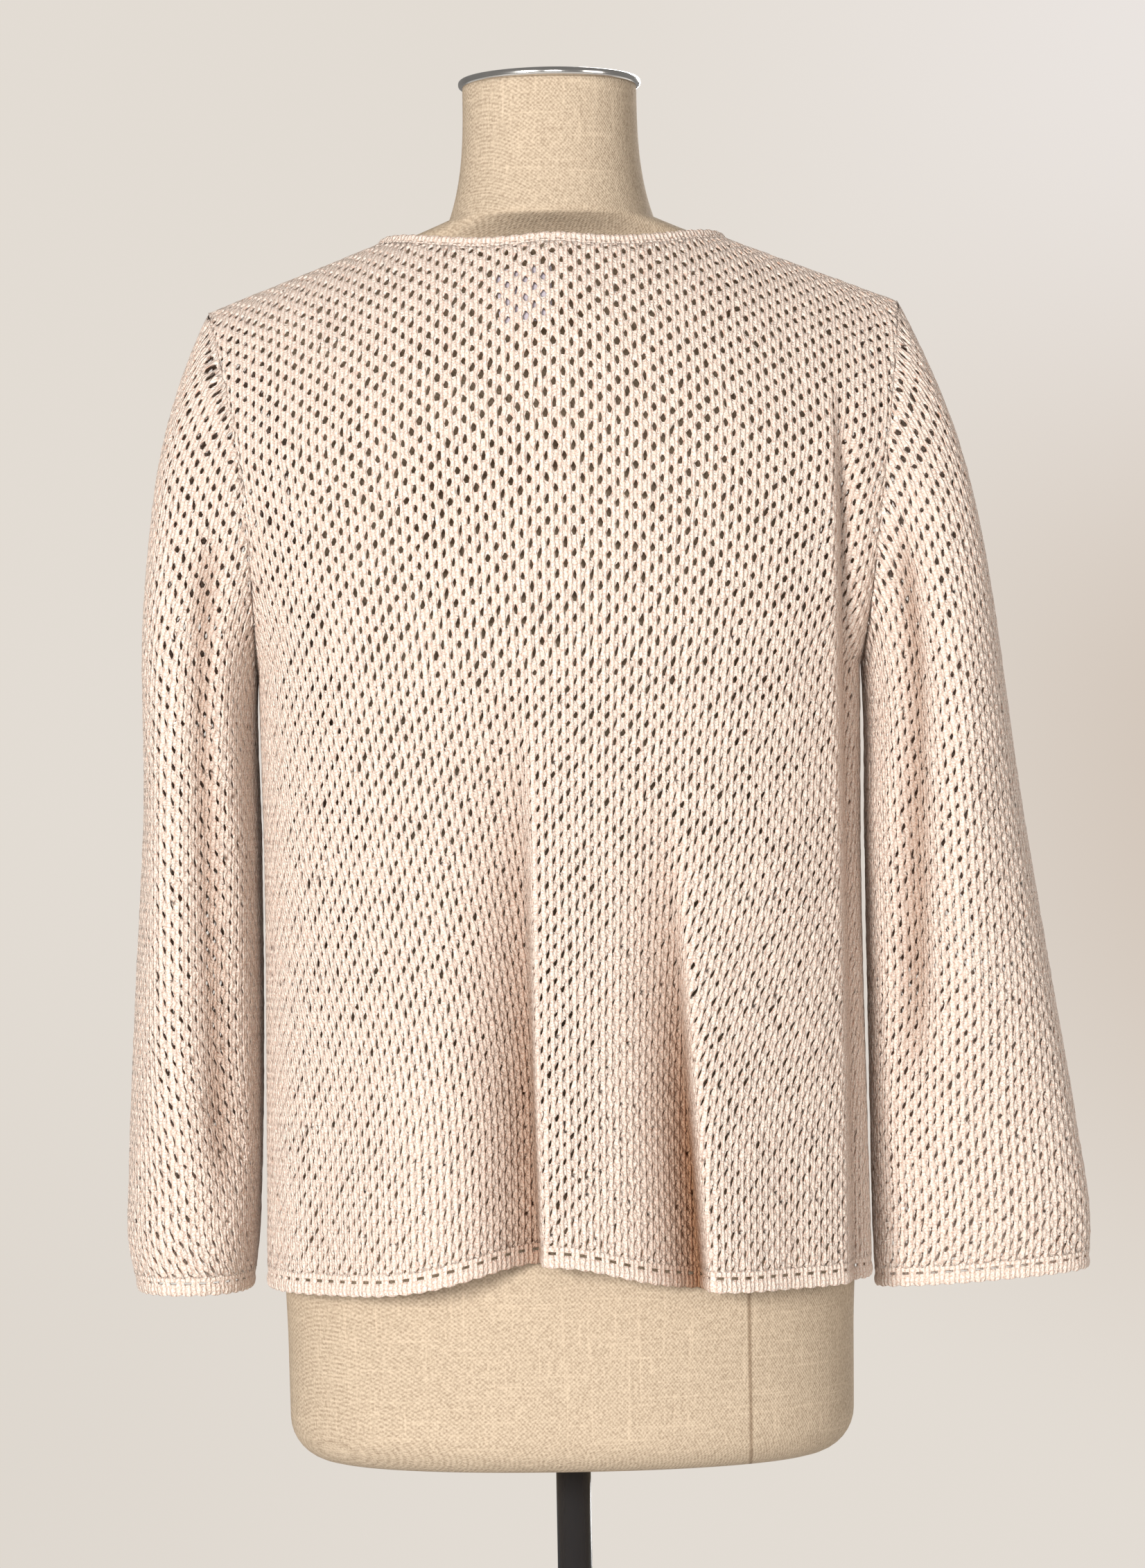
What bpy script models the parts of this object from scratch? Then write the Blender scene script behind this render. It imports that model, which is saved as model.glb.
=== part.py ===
"""A long-sleeved openwork cardigan, worn open-edged on a limbless dress form.

Axes: +X is the wearer's left, +Y the wearer's back, +Z up, in metres.
The origin is on the floor, under the middle of the round base.
Every panel is a wall of even thickness on a surface that is a function of
two parameters, so neighbouring pieces share the same seam line.
"""
import math
from collections import namedtuple

import bmesh
import bpy
import numpy as np

# Cloth and seams
KNIT_WALL = 0.0024
TRIM_WALL = 0.0030
LABEL_WALL = 0.0006
SEAM_GAP = 0.0003
ARM_SEAM_GAP = 0.00045

# Small steps used for directions, and the share taken for the front middle
EDGE_STEP = 0.0008
LEVEL_STEP = 0.0096
TURN_STEP = 0.004
CENTRE = 1e-6

# Shoulder, neck and armhole
SHOULDER_X = 0.207
SHOULDER_Z = 1.422
RIDGE_Y = 0.012
NECK_X = 0.107
NECK_SHARE = 0.7
NECK_CUT = {1: 44.0, -1: 77.0}
NECK_CUT_POWER = 1.3
NECK_END_CLEAR = 0.01
NECK_CLIMB_SIDE = 0.66
NECK_CLIMB_MIDDLE = 0.95
SHOULDER_SLOPE = 0.39
CLIMB_ROUND = 0.018
UNDERARM_X = 0.180
UNDERARM_Y = 0.010
UNDERARM_Z = 1.205
UNDERARM_APART = 0.0030
ARMHOLE_BACK_Y = 0.066
ARMHOLE_FRONT_Y = -0.050
ARMHOLE_TURN = {1: 2.4, -1: 0.9}
QUIET_POWER = 14

# Hem, fronts and edging
HEM_Z = 0.8375
HEM_RISE = 0.019
HEM_RISE_X = 0.013
HEM_RISE_WIDTH = 0.060
FRONT_OPEN_TOP = 0.0035
FRONT_OPEN_HEM = 0.0110
FRONT_TRIM = 0.010
HEM_TRIM = 0.012
NECK_TRIM = 0.007
CUFF_TRIM = 0.011
SECTION_POWER = 2.5

# Half width of the body and the depth of its back and front
BodyRow = namedtuple("BodyRow", "height half_width back front")
BODY_ROWS = (
    BodyRow(0.830, 0.1810, 0.136, -0.134),
    BodyRow(0.950, 0.1795, 0.129, -0.135),
    BodyRow(1.080, 0.1785, 0.122, -0.138),
    BodyRow(1.205, 0.1800, 0.118, -0.141),
    BodyRow(1.310, 0.1800, 0.114, -0.129),
    BodyRow(1.355, 0.1800, 0.112, -0.113),
    BodyRow(1.390, 0.1800, 0.111, -0.098),
    BodyRow(1.460, 0.1800, 0.110, -0.090),
)

# Folds of the body: place at the hem, lean in metres per metre up, the
# heights between which it runs, fade length, depth outwards, and its width
# to the left and to the right
Fold = namedtuple("Fold", "place lean top bottom fade depth left right")
BACK_FOLDS = (
    Fold(0.000, 0.026, 1.170, 0.0, 0.26, 0.012, 0.008, 0.045),
    Fold(0.019, 0.026, 1.150, 0.0, 0.24, -0.016, 0.042, 0.008),
    Fold(-0.073, 0.040, 1.150, 0.0, 0.28, -0.018, 0.028, 0.011),
    Fold(-0.100, 0.000, 1.100, 0.0, 0.24, 0.006, 0.020, 0.030),
    Fold(0.082, 0.020, 1.120, 0.0, 0.28, 0.006, 0.034, 0.036),
    Fold(0.142, -0.010, 1.050, 0.0, 0.18, -0.004, 0.016, 0.018),
    Fold(-0.176, 0.000, 1.370, 1.180, 0.08, -0.020, 0.009, 0.010),
)
FRONT_FOLDS = (
    Fold(0.048, 0.020, 1.120, 0.0, 0.24, 0.008, 0.020, 0.018),
    Fold(0.088, 0.010, 1.150, 0.0, 0.26, -0.010, 0.018, 0.020),
    Fold(0.130, 0.000, 1.080, 0.0, 0.20, 0.006, 0.018, 0.018),
    Fold(-0.038, -0.020, 1.100, 0.0, 0.22, 0.007, 0.016, 0.020),
    Fold(-0.078, -0.010, 1.160, 0.0, 0.28, -0.011, 0.020, 0.018),
    Fold(-0.120, 0.000, 1.060, 0.0, 0.20, 0.007, 0.018, 0.020),
)

# Sleeve sections from just below the underarm to the cuff
SleeveRow = namedtuple("SleeveRow", "height outer inner back front")
SLEEVE_ROWS = {
    1: (
        SleeveRow(1.100, 0.2525, 0.1865, 0.070, -0.076),
        SleeveRow(0.985, 0.2602, 0.1880, 0.066, -0.070),
        SleeveRow(0.900, 0.2646, 0.1905, 0.062, -0.064),
        SleeveRow(0.865, 0.2655, 0.1920, 0.060, -0.061),
        SleeveRow(0.830, 0.2590, 0.1960, 0.054, -0.056),
    ),
    -1: (
        SleeveRow(1.100, 0.2790, 0.1870, 0.076, -0.058),
        SleeveRow(1.017, 0.2920, 0.1872, 0.066, -0.050),
        SleeveRow(0.933, 0.3053, 0.1876, 0.053, -0.037),
        SleeveRow(0.860, 0.3136, 0.1882, 0.045, -0.028),
        SleeveRow(0.830, 0.3115, 0.1888, 0.042, -0.026),
    ),
}
SLEEVE_POWER = 2.3
SLEEVE_TOP_Z = 1.100
SLEEVE_TOP_STEP = 0.030
SLEEVE_FOLD_START = 0.3
CUFF_Z = {1: 0.8340, -1: 0.8335}
CUFF_SLOPE = {1: 0.0000, -1: 0.0045}

# The sleeve's way out of the armhole, and how far the curves keep their
# direction, as a share of their length
LEAVE_OUT = 0.06
LEAVE_OUT_TOP = 0.21
LEAVE_OUT_SIDES = 0.70
LEAVE_BACK = 0.22
LEAVE_DOWN = 0.45
LEAVE_DOWN_ENDS = 0.50
HANDLE_ENDS = 0.34
HANDLE_SIDES = 0.14
HANDLE_BELOW = 0.33

# Folds of a sleeve: angle round it at the top and bottom of the fold, where
# 0 is the outer side and 90 degrees is the back
SleeveFold = namedtuple("SleeveFold", "angle_top angle_low top bottom fade depth width")
SLEEVE_FOLDS = {
    1: (
        SleeveFold(80, 122, 1.330, 0.900, 0.09, -0.009, 20),
        SleeveFold(45, 80, 1.300, 0.940, 0.10, 0.004, 26),
        SleeveFold(250, 235, 1.280, 0.920, 0.12, -0.008, 20),
        SleeveFold(300, 310, 1.200, 0.860, 0.12, -0.005, 22),
    ),
    -1: (
        SleeveFold(92, 108, 1.400, 1.040, 0.12, -0.011, 17),
        SleeveFold(130, 150, 1.320, 1.000, 0.12, 0.004, 18),
        SleeveFold(255, 240, 1.290, 0.900, 0.12, -0.008, 20),
        SleeveFold(305, 300, 1.180, 0.870, 0.10, -0.004, 22),
    ),
}

# Counts of columns and rows in the walls
BACK_COLUMNS = 54
FRONT_COLUMNS = 17
LOW_ROWS = 7
HIGH_ROWS = 12
SLEEVE_HIGH_ROWS = 8
SLEEVE_LOW_ROWS = 5
HEM_SAMPLES = 801

# Blank label inside the back neck, in columns and rows of the back panel
LABEL_COLUMNS = (27, 33)
LABEL_ROWS = (1, 3)

# Dress form: half width, half depth and the middle's y at each height
FormRow = namedtuple("FormRow", "height half_width half_depth middle")
FORM_ROWS = (
    FormRow(0.730, 0.1700, 0.108, 0.000),
    FormRow(0.800, 0.1710, 0.109, 0.000),
    FormRow(0.900, 0.1715, 0.110, 0.000),
    FormRow(1.000, 0.1480, 0.098, 0.000),
    FormRow(1.080, 0.1230, 0.086, -0.002),
    FormRow(1.160, 0.1310, 0.095, -0.007),
    FormRow(1.240, 0.1460, 0.115, -0.013),
    FormRow(1.300, 0.1560, 0.105, -0.006),
    FormRow(1.350, 0.1640, 0.086, 0.002),
    FormRow(1.385, 0.1760, 0.068, 0.008),
    FormRow(1.404, 0.1840, 0.048, RIDGE_Y),
)
FORM_POWER = 2.2
FORM_SHOULDER_X = 0.182
FORM_SHOULDER_Z = 1.404
FORM_BOTTOM_Z = 0.730
FORM_CORNER = 0.026
FORM_NECK_TOP = 1.555
FORM_NECK_RADIUS = 0.0525
FORM_NECK_BASE_X = 0.062
FORM_NECK_BASE_DEPTH = 0.062
FORM_SHOULDER_DEPTH = 0.028
FORM_CLEAR = 0.0036
FORM_SIDES = 32

# Where the form's rings lie: heights up the corner, along the shoulder and
# up the neck as shares, and the torso's row height
FORM_CORNER_STEPS = (0.0, 0.12, 0.4, 0.75)
FORM_SHOULDER_STEPS = (0.0, 0.3, 0.6, 0.85, 1.0)
FORM_NECK_STEPS = (0.15, 0.4, 0.7, 1.0)
FORM_ROW_STEP = 0.045

# Stand
CAP_RADIUS = 0.055
CAP_HEIGHT = 0.005
CAP_BEVEL = 0.001
CAP_DOME = 0.003
CAP_DOME_STEPS = ((0.7, 0.6), (0.2, 1.0))
POLE_RADIUS = 0.0105
COLLAR_RADIUS = 0.024
COLLAR_HEIGHT = 0.030
COLLAR_FLANGE = 0.006
COLLAR_TAPER = 0.016
COLLAR_NECK = 0.0140
BASE_RADIUS = 0.180
BASE_HEIGHT = 0.008
BASE_BEVEL = 0.003
TURNED_SIDES = 24
SHARP_ANGLE = 40

# Colours, roughness and metallic value of each material
Finish = namedtuple("Finish", "colour roughness metallic")
FINISHES = {
    "knit": Finish((0.74, 0.61, 0.52), 0.85, 0.0),
    "trim": Finish((0.78, 0.66, 0.57), 0.85, 0.0),
    "label": Finish((0.62, 0.58, 0.62), 0.80, 0.0),
    "linen": Finish((0.50, 0.41, 0.31), 0.90, 0.0),
    "chrome": Finish((0.80, 0.80, 0.80), 0.15, 1.0),
    "black": Finish((0.02, 0.02, 0.02), 0.25, 0.0),
}


def smooth_step(value):
    """Rises from 0 to 1 as the value does, level at both ends."""
    value = np.clip(value, 0.0, 1.0)
    return value * value * (3.0 - 2.0 * value)


def unit(vectors):
    """Vectors made one metre long."""
    return vectors / np.maximum(np.linalg.norm(vectors, axis=-1, keepdims=True), 1e-12)


def stack(x, y, z):
    """Points from their coordinates, spread to one shape."""
    return np.stack(np.broadcast_arrays(x, y, z), axis=-1)


def along(rows, column, height):
    """A column of a table as a smooth curve of the height, level past its ends."""
    table = sorted(rows)
    heights = np.array([row.height for row in table])
    values = np.array([getattr(row, column) for row in table])
    slopes = np.gradient(values, heights)
    at = np.clip(height, heights[0], heights[-1])
    low = np.clip(np.searchsorted(heights, at) - 1, 0, len(heights) - 2)
    span = heights[low + 1] - heights[low]
    part = (at - heights[low]) / span
    start = values[low] * (1 + 2 * part) * (1 - part) ** 2
    end = values[low + 1] * part ** 2 * (3 - 2 * part)
    leave = slopes[low] * span * part * (1 - part) ** 2
    arrive = slopes[low + 1] * span * part ** 2 * (part - 1)
    return start + end + leave + arrive


def superellipse(angle, power):
    """The radius at an angle of a superellipse one metre in half width."""
    return (np.abs(np.cos(angle)) ** power + np.abs(np.sin(angle)) ** power) ** (-1 / power)


def armhole(angle, side):
    """The armhole loop: 0 at the shoulder tip, half a turn at the underarm.

    The height follows a cosine, the depth a sine, back first, and the width
    narrows from the shoulder tip to the underarm.
    """
    up = (1 + np.cos(angle)) / 2
    swing = np.sin(angle)
    middle = np.where(up > 0.5, RIDGE_Y, UNDERARM_Y)
    widest = np.where(swing >= 0, ARMHOLE_BACK_Y, ARMHOLE_FRONT_Y)
    x = UNDERARM_X + (SHOULDER_X - UNDERARM_X) * up ** ARMHOLE_TURN[side]
    y = middle + (widest - middle) * np.abs(swing)
    z = UNDERARM_Z + (SHOULDER_Z - UNDERARM_Z) * up
    return stack(side * x, y, z)


def hem_height(across, face):
    """The lower edge of a panel, which rises over the pleat in the back."""
    rise = np.exp(-((across - HEM_RISE_X) / HEM_RISE_WIDTH) ** 2)
    return HEM_Z + HEM_TRIM + SEAM_GAP + HEM_RISE * rise * (face > 0)


def fold_depth(folds, x, z):
    """All folds added up: each is a bell across, faded at its ends."""
    total = np.zeros(np.broadcast(x, z).shape)
    for fold in folds:
        offset = x - fold.place - fold.lean * (z - HEM_Z)
        width = np.where(offset > 0, fold.left, fold.right)
        start = smooth_step((fold.top - z) / fold.fade)
        end = smooth_step((z - fold.bottom) / fold.fade)
        total = total + fold.depth * start * end * np.exp(-(offset / width) ** 2)
    return total


def body_surface(across, level, face):
    """A point of the body's cloth, at the middle of its wall.

    across runs from -1 at the right side seam or armhole to 1 at the left,
    level from 0 at the hem to 1 at the underarm and 2 at the top edge, and
    face is 1 for the back and -1 for the fronts. Each level is a curve from
    edge to edge, a superellipse low down and a parabola at the shoulder.
    Above the armhole's middle the cloth rolls in to the shoulder line, and
    the neckline is cut out of that roll.
    """
    side = np.where(across >= 0, 1.0, -1.0)
    share = np.abs(across)
    turn_in = np.clip(share / NECK_SHARE, 0, 1) * math.pi / 2
    cut = math.radians(NECK_CUT[face]) * np.cos(turn_in) ** NECK_CUT_POWER
    plain = math.pi * (2 - np.clip(level, 1, 2))
    angle = np.where(plain < math.pi / 2, cut + plain * (1 - cut / (math.pi / 2)), plain)
    up = (1 + np.cos(angle)) / 2

    # where the armhole cuts the section, as shares of its width and depth
    column = "back" if face > 0 else "front"
    widest = ARMHOLE_BACK_Y if face > 0 else ARMHOLE_FRONT_Y
    swing = np.where(level < 1, 0.0, np.sin(np.maximum(plain, math.pi / 2)))
    edge_z = UNDERARM_Z + (SHOULDER_Z - UNDERARM_Z) * (1 + np.cos(plain)) / 2
    cut_y = (widest - UNDERARM_Y) * swing / (along(BODY_ROWS, column, edge_z) - UNDERARM_Y)
    cut_x = (1 - cut_y ** SECTION_POWER) ** (1 / SECTION_POWER)

    # the curve of one level, from the middle to the side seam or armhole
    theta = math.pi / 2 + (np.arctan2(cut_y, cut_x) - math.pi / 2) * share
    reach = superellipse(theta, SECTION_POWER)
    straight = smooth_step(up)
    across_x = (1 - straight) * reach * np.cos(theta) / cut_x + straight * share
    bow = cut_y + (1 - cut_y) * (1 - share ** 2)
    across_y = (1 - straight) * reach * np.sin(theta) + straight * bow

    # heights and half widths at the side seam and the armhole
    hem = hem_height(side * across_x * UNDERARM_X, face)
    low_z = hem + (UNDERARM_Z - hem) * np.clip(level, 0, 1)
    turn = np.where(side > 0, ARMHOLE_TURN[1], ARMHOLE_TURN[-1])
    high_x = UNDERARM_X + (SHOULDER_X - UNDERARM_X) * up ** turn
    edge_x = np.where(level < 1, along(BODY_ROWS, "half_width", low_z), high_x)

    # widths, drawn in to the shoulder line and the neckline at the top
    gape = FRONT_OPEN_HEM + (FRONT_OPEN_TOP - FRONT_OPEN_HEM) * np.clip(level / 2, 0, 1)
    inset = gape + FRONT_TRIM + SEAM_GAP if face < 0 else 0.0
    neck_inset = FRONT_OPEN_TOP + FRONT_TRIM + SEAM_GAP if face < 0 else 0.0
    out = np.clip((share - NECK_SHARE) / (1 - NECK_SHARE), 0, 1)
    top_x = neck_inset + (NECK_X - neck_inset) * np.sin(turn_in) + (SHOULDER_X - NECK_X) * out
    top_x = top_x * edge_x / SHOULDER_X
    wide_x = inset + (edge_x - inset) * across_x
    x = top_x + (wide_x - top_x) * np.sin(np.minimum(plain, math.pi / 2))

    # heights, which climb towards the neck, and depths
    aside = x * SHOULDER_X / edge_x
    aside = np.sqrt(CLIMB_ROUND ** 2 + (1 - (CLIMB_ROUND / SHOULDER_X) ** 2) * aside ** 2)
    climb = SHOULDER_SLOPE * (SHOULDER_X - aside)
    z = np.where(level < 1, low_z, UNDERARM_Z + (SHOULDER_Z - UNDERARM_Z + climb) * up)
    y = UNDERARM_Y + (along(BODY_ROWS, column, z) - UNDERARM_Y) * across_y
    y = RIDGE_Y + (y - RIDGE_Y) * np.where(angle > math.pi / 2, 1.0, np.sin(angle))
    folds = BACK_FOLDS if face > 0 else FRONT_FOLDS
    quiet = 1 - share ** QUIET_POWER
    y = y + face * quiet * fold_depth(folds, side * x, z) + face * SEAM_GAP / 2
    return stack(side * x, y, z)


def body_normal(across, level, face):
    """The outward direction of the body's cloth, from small steps."""
    left_front = (face < 0) & (across > 0)
    right_front = (face < 0) & (across < 0)
    across_low = np.maximum(across - EDGE_STEP, np.where(left_front, CENTRE, -1.0))
    across_high = np.minimum(across + EDGE_STEP, np.where(right_front, -CENTRE, 1.0))
    level_low = np.maximum(level - LEVEL_STEP, 0)
    level_high = np.minimum(level + LEVEL_STEP, 2)
    over = body_surface(across_high, level, face) - body_surface(across_low, level, face)
    rise = body_surface(across, level_high, face) - body_surface(across, level_low, face)
    return unit(np.cross(rise, over) * face)


def neck_rim(across, face):
    """The way from the neckline in towards the neck, and the wall's way there.

    The way in points at the neck in plan and climbs more at the middle of
    the neckline than beside the neck.
    """
    limit = NECK_SHARE - EDGE_STEP
    top = np.full(np.shape(across), 2.0)
    low = body_surface(np.clip(across - EDGE_STEP, -limit, limit), top, face)
    high = body_surface(np.clip(across + EDGE_STEP, -limit, limit), top, face)
    turn = np.clip(across / NECK_SHARE, -1, 1) * math.pi / 2
    climb = NECK_CLIMB_SIDE + NECK_CLIMB_MIDDLE * np.cos(turn)
    inward = stack(-np.sin(turn), -face * np.cos(turn), climb)
    run = unit(high - low)
    ways = unit(np.cross(run, inward))
    ways = ways * np.sign(ways[..., 2:])
    askew = np.sum(inward * run, axis=-1, keepdims=True) * np.cos(turn)[..., None]
    return unit(inward - run * askew), ways


def sleeve_section(angle, height, side):
    """A point of the sleeve's level section, a superellipse through its row."""
    rows = SLEEVE_ROWS[side]
    outer = along(rows, "outer", height)
    inner = along(rows, "inner", height)
    back = along(rows, "back", height)
    front = along(rows, "front", height)
    reach = superellipse(angle, SLEEVE_POWER)
    x = (outer + inner) / 2 + (outer - inner) / 2 * reach * np.cos(angle)
    y = (back + front) / 2 + (back - front) / 2 * reach * np.sin(angle)
    return stack(side * x, y, height)


def hanging(angle):
    """0 over the shoulder, rising to 1 at the underarm."""
    return smooth_step(-np.cos(angle))[..., None]


def sleeve_leave(angle, side):
    """The direction in which the sleeve leaves the armhole."""
    rise = np.cos(angle)
    swing = np.sin(angle)
    x = LEAVE_OUT + LEAVE_OUT_TOP * (1 + rise) + LEAVE_OUT_SIDES * swing ** 2
    z = -(LEAVE_DOWN + LEAVE_DOWN_ENDS * rise ** 2)
    return unit(stack(side * x, LEAVE_BACK * swing, z))


def cuff_height(angle, side):
    """The sleeve panel's lower edge."""
    return CUFF_Z[side] + CUFF_SLOPE[side] * np.cos(angle) + CUFF_TRIM + SEAM_GAP


def sleeve_surface(angle, level, side):
    """A point of the sleeve's cloth, at the middle of its wall.

    angle goes round the sleeve from its outer side over the back, and level
    from 0 at the armhole to 1 below the underarm and 2 at the cuff. The
    first part is a Bezier curve for each angle, and the rest joins sections.
    """
    start = armhole(angle, side) + np.array([side * UNDERARM_APART, 0.0, 0.0]) * hanging(angle)
    end = sleeve_section(angle, np.full(np.shape(angle), SLEEVE_TOP_Z), side)
    below = sleeve_section(angle, np.full(np.shape(angle), SLEEVE_TOP_Z - SLEEVE_TOP_STEP), side)
    length = np.linalg.norm(end - start, axis=-1, keepdims=True)
    handle = (HANDLE_ENDS + (HANDLE_SIDES - HANDLE_ENDS) * np.sin(angle) ** 2)[..., None]
    first = start + sleeve_leave(angle, side) * length * handle
    second = end + unit(end - below) * length * HANDLE_BELOW
    part = np.clip(level, 0, 1)[..., None]
    curve = start * (1 - part) ** 3 + 3 * first * part * (1 - part) ** 2
    curve = curve + 3 * second * part ** 2 * (1 - part) + end * part ** 3
    drop = np.clip(level - 1, 0, 1)
    height = SLEEVE_TOP_Z + (cuff_height(angle, side) - SLEEVE_TOP_Z) * drop
    lower = sleeve_section(angle, height, side)
    points = np.where((level > 1)[..., None], lower, curve)
    outward = stack(side * np.cos(angle), np.sin(angle), 0.0)
    return points + outward * sleeve_folds(angle, points[..., 2], side, level)[..., None]


def sleeve_folds(angle, height, side, level):
    """Depth of the sleeve's folds, outwards, none at the armhole seam."""
    total = np.zeros(np.shape(angle))
    for fold in SLEEVE_FOLDS[side]:
        down = np.clip((fold.top - height) / (fold.top - fold.bottom), 0, 1)
        place = np.radians(fold.angle_top + (fold.angle_low - fold.angle_top) * down)
        offset = np.angle(np.exp(1j * (angle - place)))
        start = smooth_step((fold.top - height) / fold.fade)
        end = smooth_step((height - fold.bottom) / fold.fade + 0.5)
        total = total + fold.depth * start * end * np.exp(-(offset / math.radians(fold.width)) ** 2)
    return total * smooth_step(level / SLEEVE_FOLD_START)


def sleeve_normal(angle, level, side):
    """The outward direction of the sleeve's cloth, from small steps."""
    level_low = np.maximum(level - TURN_STEP, 0)
    level_high = np.minimum(level + TURN_STEP, 2)
    over = sleeve_surface(angle + TURN_STEP, level, side) - sleeve_surface(angle - TURN_STEP, level, side)
    down = sleeve_surface(angle, level_high, side) - sleeve_surface(angle, level_low, side)
    return unit(np.cross(down, over) * side)


def arm_seam(angle, side):
    """How the body and the sleeve meet at the armhole.

    Returns the way across the seam, half the distance between the two walls
    and the wall directions of the body and of the sleeve. Over the shoulder
    both walls share one direction; at the underarm they hang side by side.
    """
    wrapped = np.mod(angle, 2 * math.pi)
    is_back = wrapped <= math.pi
    level = 2 - np.where(is_back, wrapped, 2 * math.pi - wrapped) / math.pi
    edge = np.full(np.shape(wrapped), float(side))
    body = np.where(is_back[..., None], body_normal(edge, level, 1), body_normal(edge, level, -1))
    sleeve = sleeve_normal(wrapped, np.zeros(np.shape(wrapped)), side)
    shared = unit(body + sleeve + np.array([0.0, 0.0, 1e-6]))
    seam = armhole(wrapped + TURN_STEP, side) - armhole(wrapped - TURN_STEP, side)
    over = np.cross(shared, seam)
    over = unit(over * np.sign(over[..., :1] * side))
    hang = hanging(wrapped)
    over = unit(over * (1 - hang) + np.array([float(side), 0.0, 0.0]) * hang)
    body_way = unit(shared * (1 - hang) + body * hang)
    sleeve_way = unit(shared * (1 - hang) + sleeve * hang)
    cosine = np.sum(body_way * sleeve_way, axis=-1)
    half_angle = np.arccos(np.clip(cosine, -1, 1)) / 2
    apart = KNIT_WALL * np.sin(half_angle)[..., None] - UNDERARM_APART * hang
    half_gap = (ARM_SEAM_GAP + np.maximum(apart, 0)) / 2
    return over, half_gap, body_way, sleeve_way


def material(kind):
    """The material of one kind of surface."""
    finish = FINISHES[kind]
    made = bpy.data.materials.new(kind)
    made.use_nodes = True
    shader = made.node_tree.nodes["Principled BSDF"]
    shader.inputs["Base Color"].default_value = (*finish.colour, 1.0)
    shader.inputs["Roughness"].default_value = finish.roughness
    shader.inputs["Metallic"].default_value = finish.metallic
    return made


def add_solid(name, points, faces, kind):
    """One closed solid of points and faces, shaded smooth."""
    mesh = bpy.data.meshes.new(name)
    shape = bmesh.new()
    corners = [shape.verts.new(point) for point in points]
    for face in faces:
        shape.faces.new([corners[index] for index in face])
    bmesh.ops.recalc_face_normals(shape, faces=shape.faces)
    shape.to_mesh(mesh)
    shape.free()
    mesh.materials.append(material(kind))
    mesh.shade_smooth()
    mesh.set_sharp_from_angle(angle=math.radians(SHARP_ANGLE))
    solid = bpy.data.objects.new(name, mesh)
    bpy.context.scene.collection.objects.link(solid)
    return solid


def add_wall(name, middle, ways, thickness, kind, closed=False):
    """A wall on a grid of points, half its thickness to each side of them.

    middle and ways are rows by columns by three. A closed wall joins its
    last column to its first, as a tube does.
    """
    rows, columns = middle.shape[:2]
    outer = middle + ways * thickness / 2
    inner = middle - ways * thickness / 2
    points = np.concatenate([outer.reshape(-1, 3), inner.reshape(-1, 3)])
    half = rows * columns
    number = np.arange(half).reshape(rows, columns)
    if closed:
        number = np.concatenate([number, number[:, :1]], axis=1)
    low_left = number[:-1, :-1].ravel()
    low_right = number[:-1, 1:].ravel()
    high_right = number[1:, 1:].ravel()
    high_left = number[1:, :-1].ravel()
    sheet = np.stack([low_left, low_right, high_right, high_left], axis=1)
    faces = [tuple(face) for face in sheet]
    faces += [tuple(face[::-1] + half) for face in sheet]
    edges = [number[0], number[-1, ::-1]]
    if not closed:
        edges += [number[::-1, 0], number[:, -1]]
    for edge in edges:
        for start, end in zip(edge[:-1], edge[1:]):
            faces.append((end, start, start + half, end + half))
    return add_solid(name, points, faces, kind)


def add_turned(name, profile, kind, sides=TURNED_SIDES):
    """A solid turned round the Z axis from radii and heights, bottom first."""
    turn = np.arange(sides) * 2 * math.pi / sides
    rings = [stack(radius * np.cos(turn), radius * np.sin(turn), height) for radius, height in profile]
    return add_loft(name, rings, kind)


def add_loft(name, rings, kind):
    """A solid through closed rings, flat at its two ends."""
    sides = len(rings[0])
    points = np.concatenate(rings)
    faces = [tuple(range(sides))]
    for ring in range(len(rings) - 1):
        for side in range(sides):
            after = (side + 1) % sides
            low = ring * sides
            faces.append((low + side, low + after, low + sides + after, low + sides + side))
    top = (len(rings) - 1) * sides
    faces.append(tuple(top + side for side in reversed(range(sides))))
    return add_solid(name, points, faces, kind)


def high_levels():
    """Levels from the underarm to the shoulder, evenly round the armhole."""
    return 1 + np.arange(HIGH_ROWS + 1) / HIGH_ROWS


def body_levels():
    """Levels of all rows of a body panel."""
    return np.concatenate([np.arange(LOW_ROWS) / LOW_ROWS, high_levels()])


def even_columns(count, face, start, end):
    """Places across a panel, evenly apart along its hem, one at each neck corner."""
    fine = np.linspace(start, end, HEM_SAMPLES)
    hem = body_surface(fine, np.zeros(HEM_SAMPLES), face)
    length = np.concatenate([[0], np.cumsum(np.linalg.norm(np.diff(hem, axis=0), axis=1))])
    columns = np.interp(np.linspace(0, length[-1], count + 1), length, fine)
    for corner in (-NECK_SHARE, NECK_SHARE):
        if start < corner < end:
            columns[np.argmin(np.abs(columns - corner))] = corner
    return columns


def body_grid(columns, levels, face):
    """Points and wall directions of a body panel, fitted to its armholes."""
    across, level = np.meshgrid(columns, levels)
    points = body_surface(across, level, face)
    ways = body_normal(across, level, face)
    for column, edge in ((0, columns[0]), (-1, columns[-1])):
        if abs(edge) < 1:
            continue
        side = 1 if edge > 0 else -1
        rows = levels >= 1
        turn = math.pi * (2 - levels[rows])
        angle = turn if face > 0 else 2 * math.pi - turn
        over, half_gap, body_way, _ = arm_seam(angle, side)
        points[rows, column] -= over * half_gap
        ways[rows, column] = body_way
    neck = np.abs(columns) < NECK_SHARE - EDGE_STEP
    ways[-1, neck] = neck_rim(columns[neck], face)[1]
    return points, ways


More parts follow.
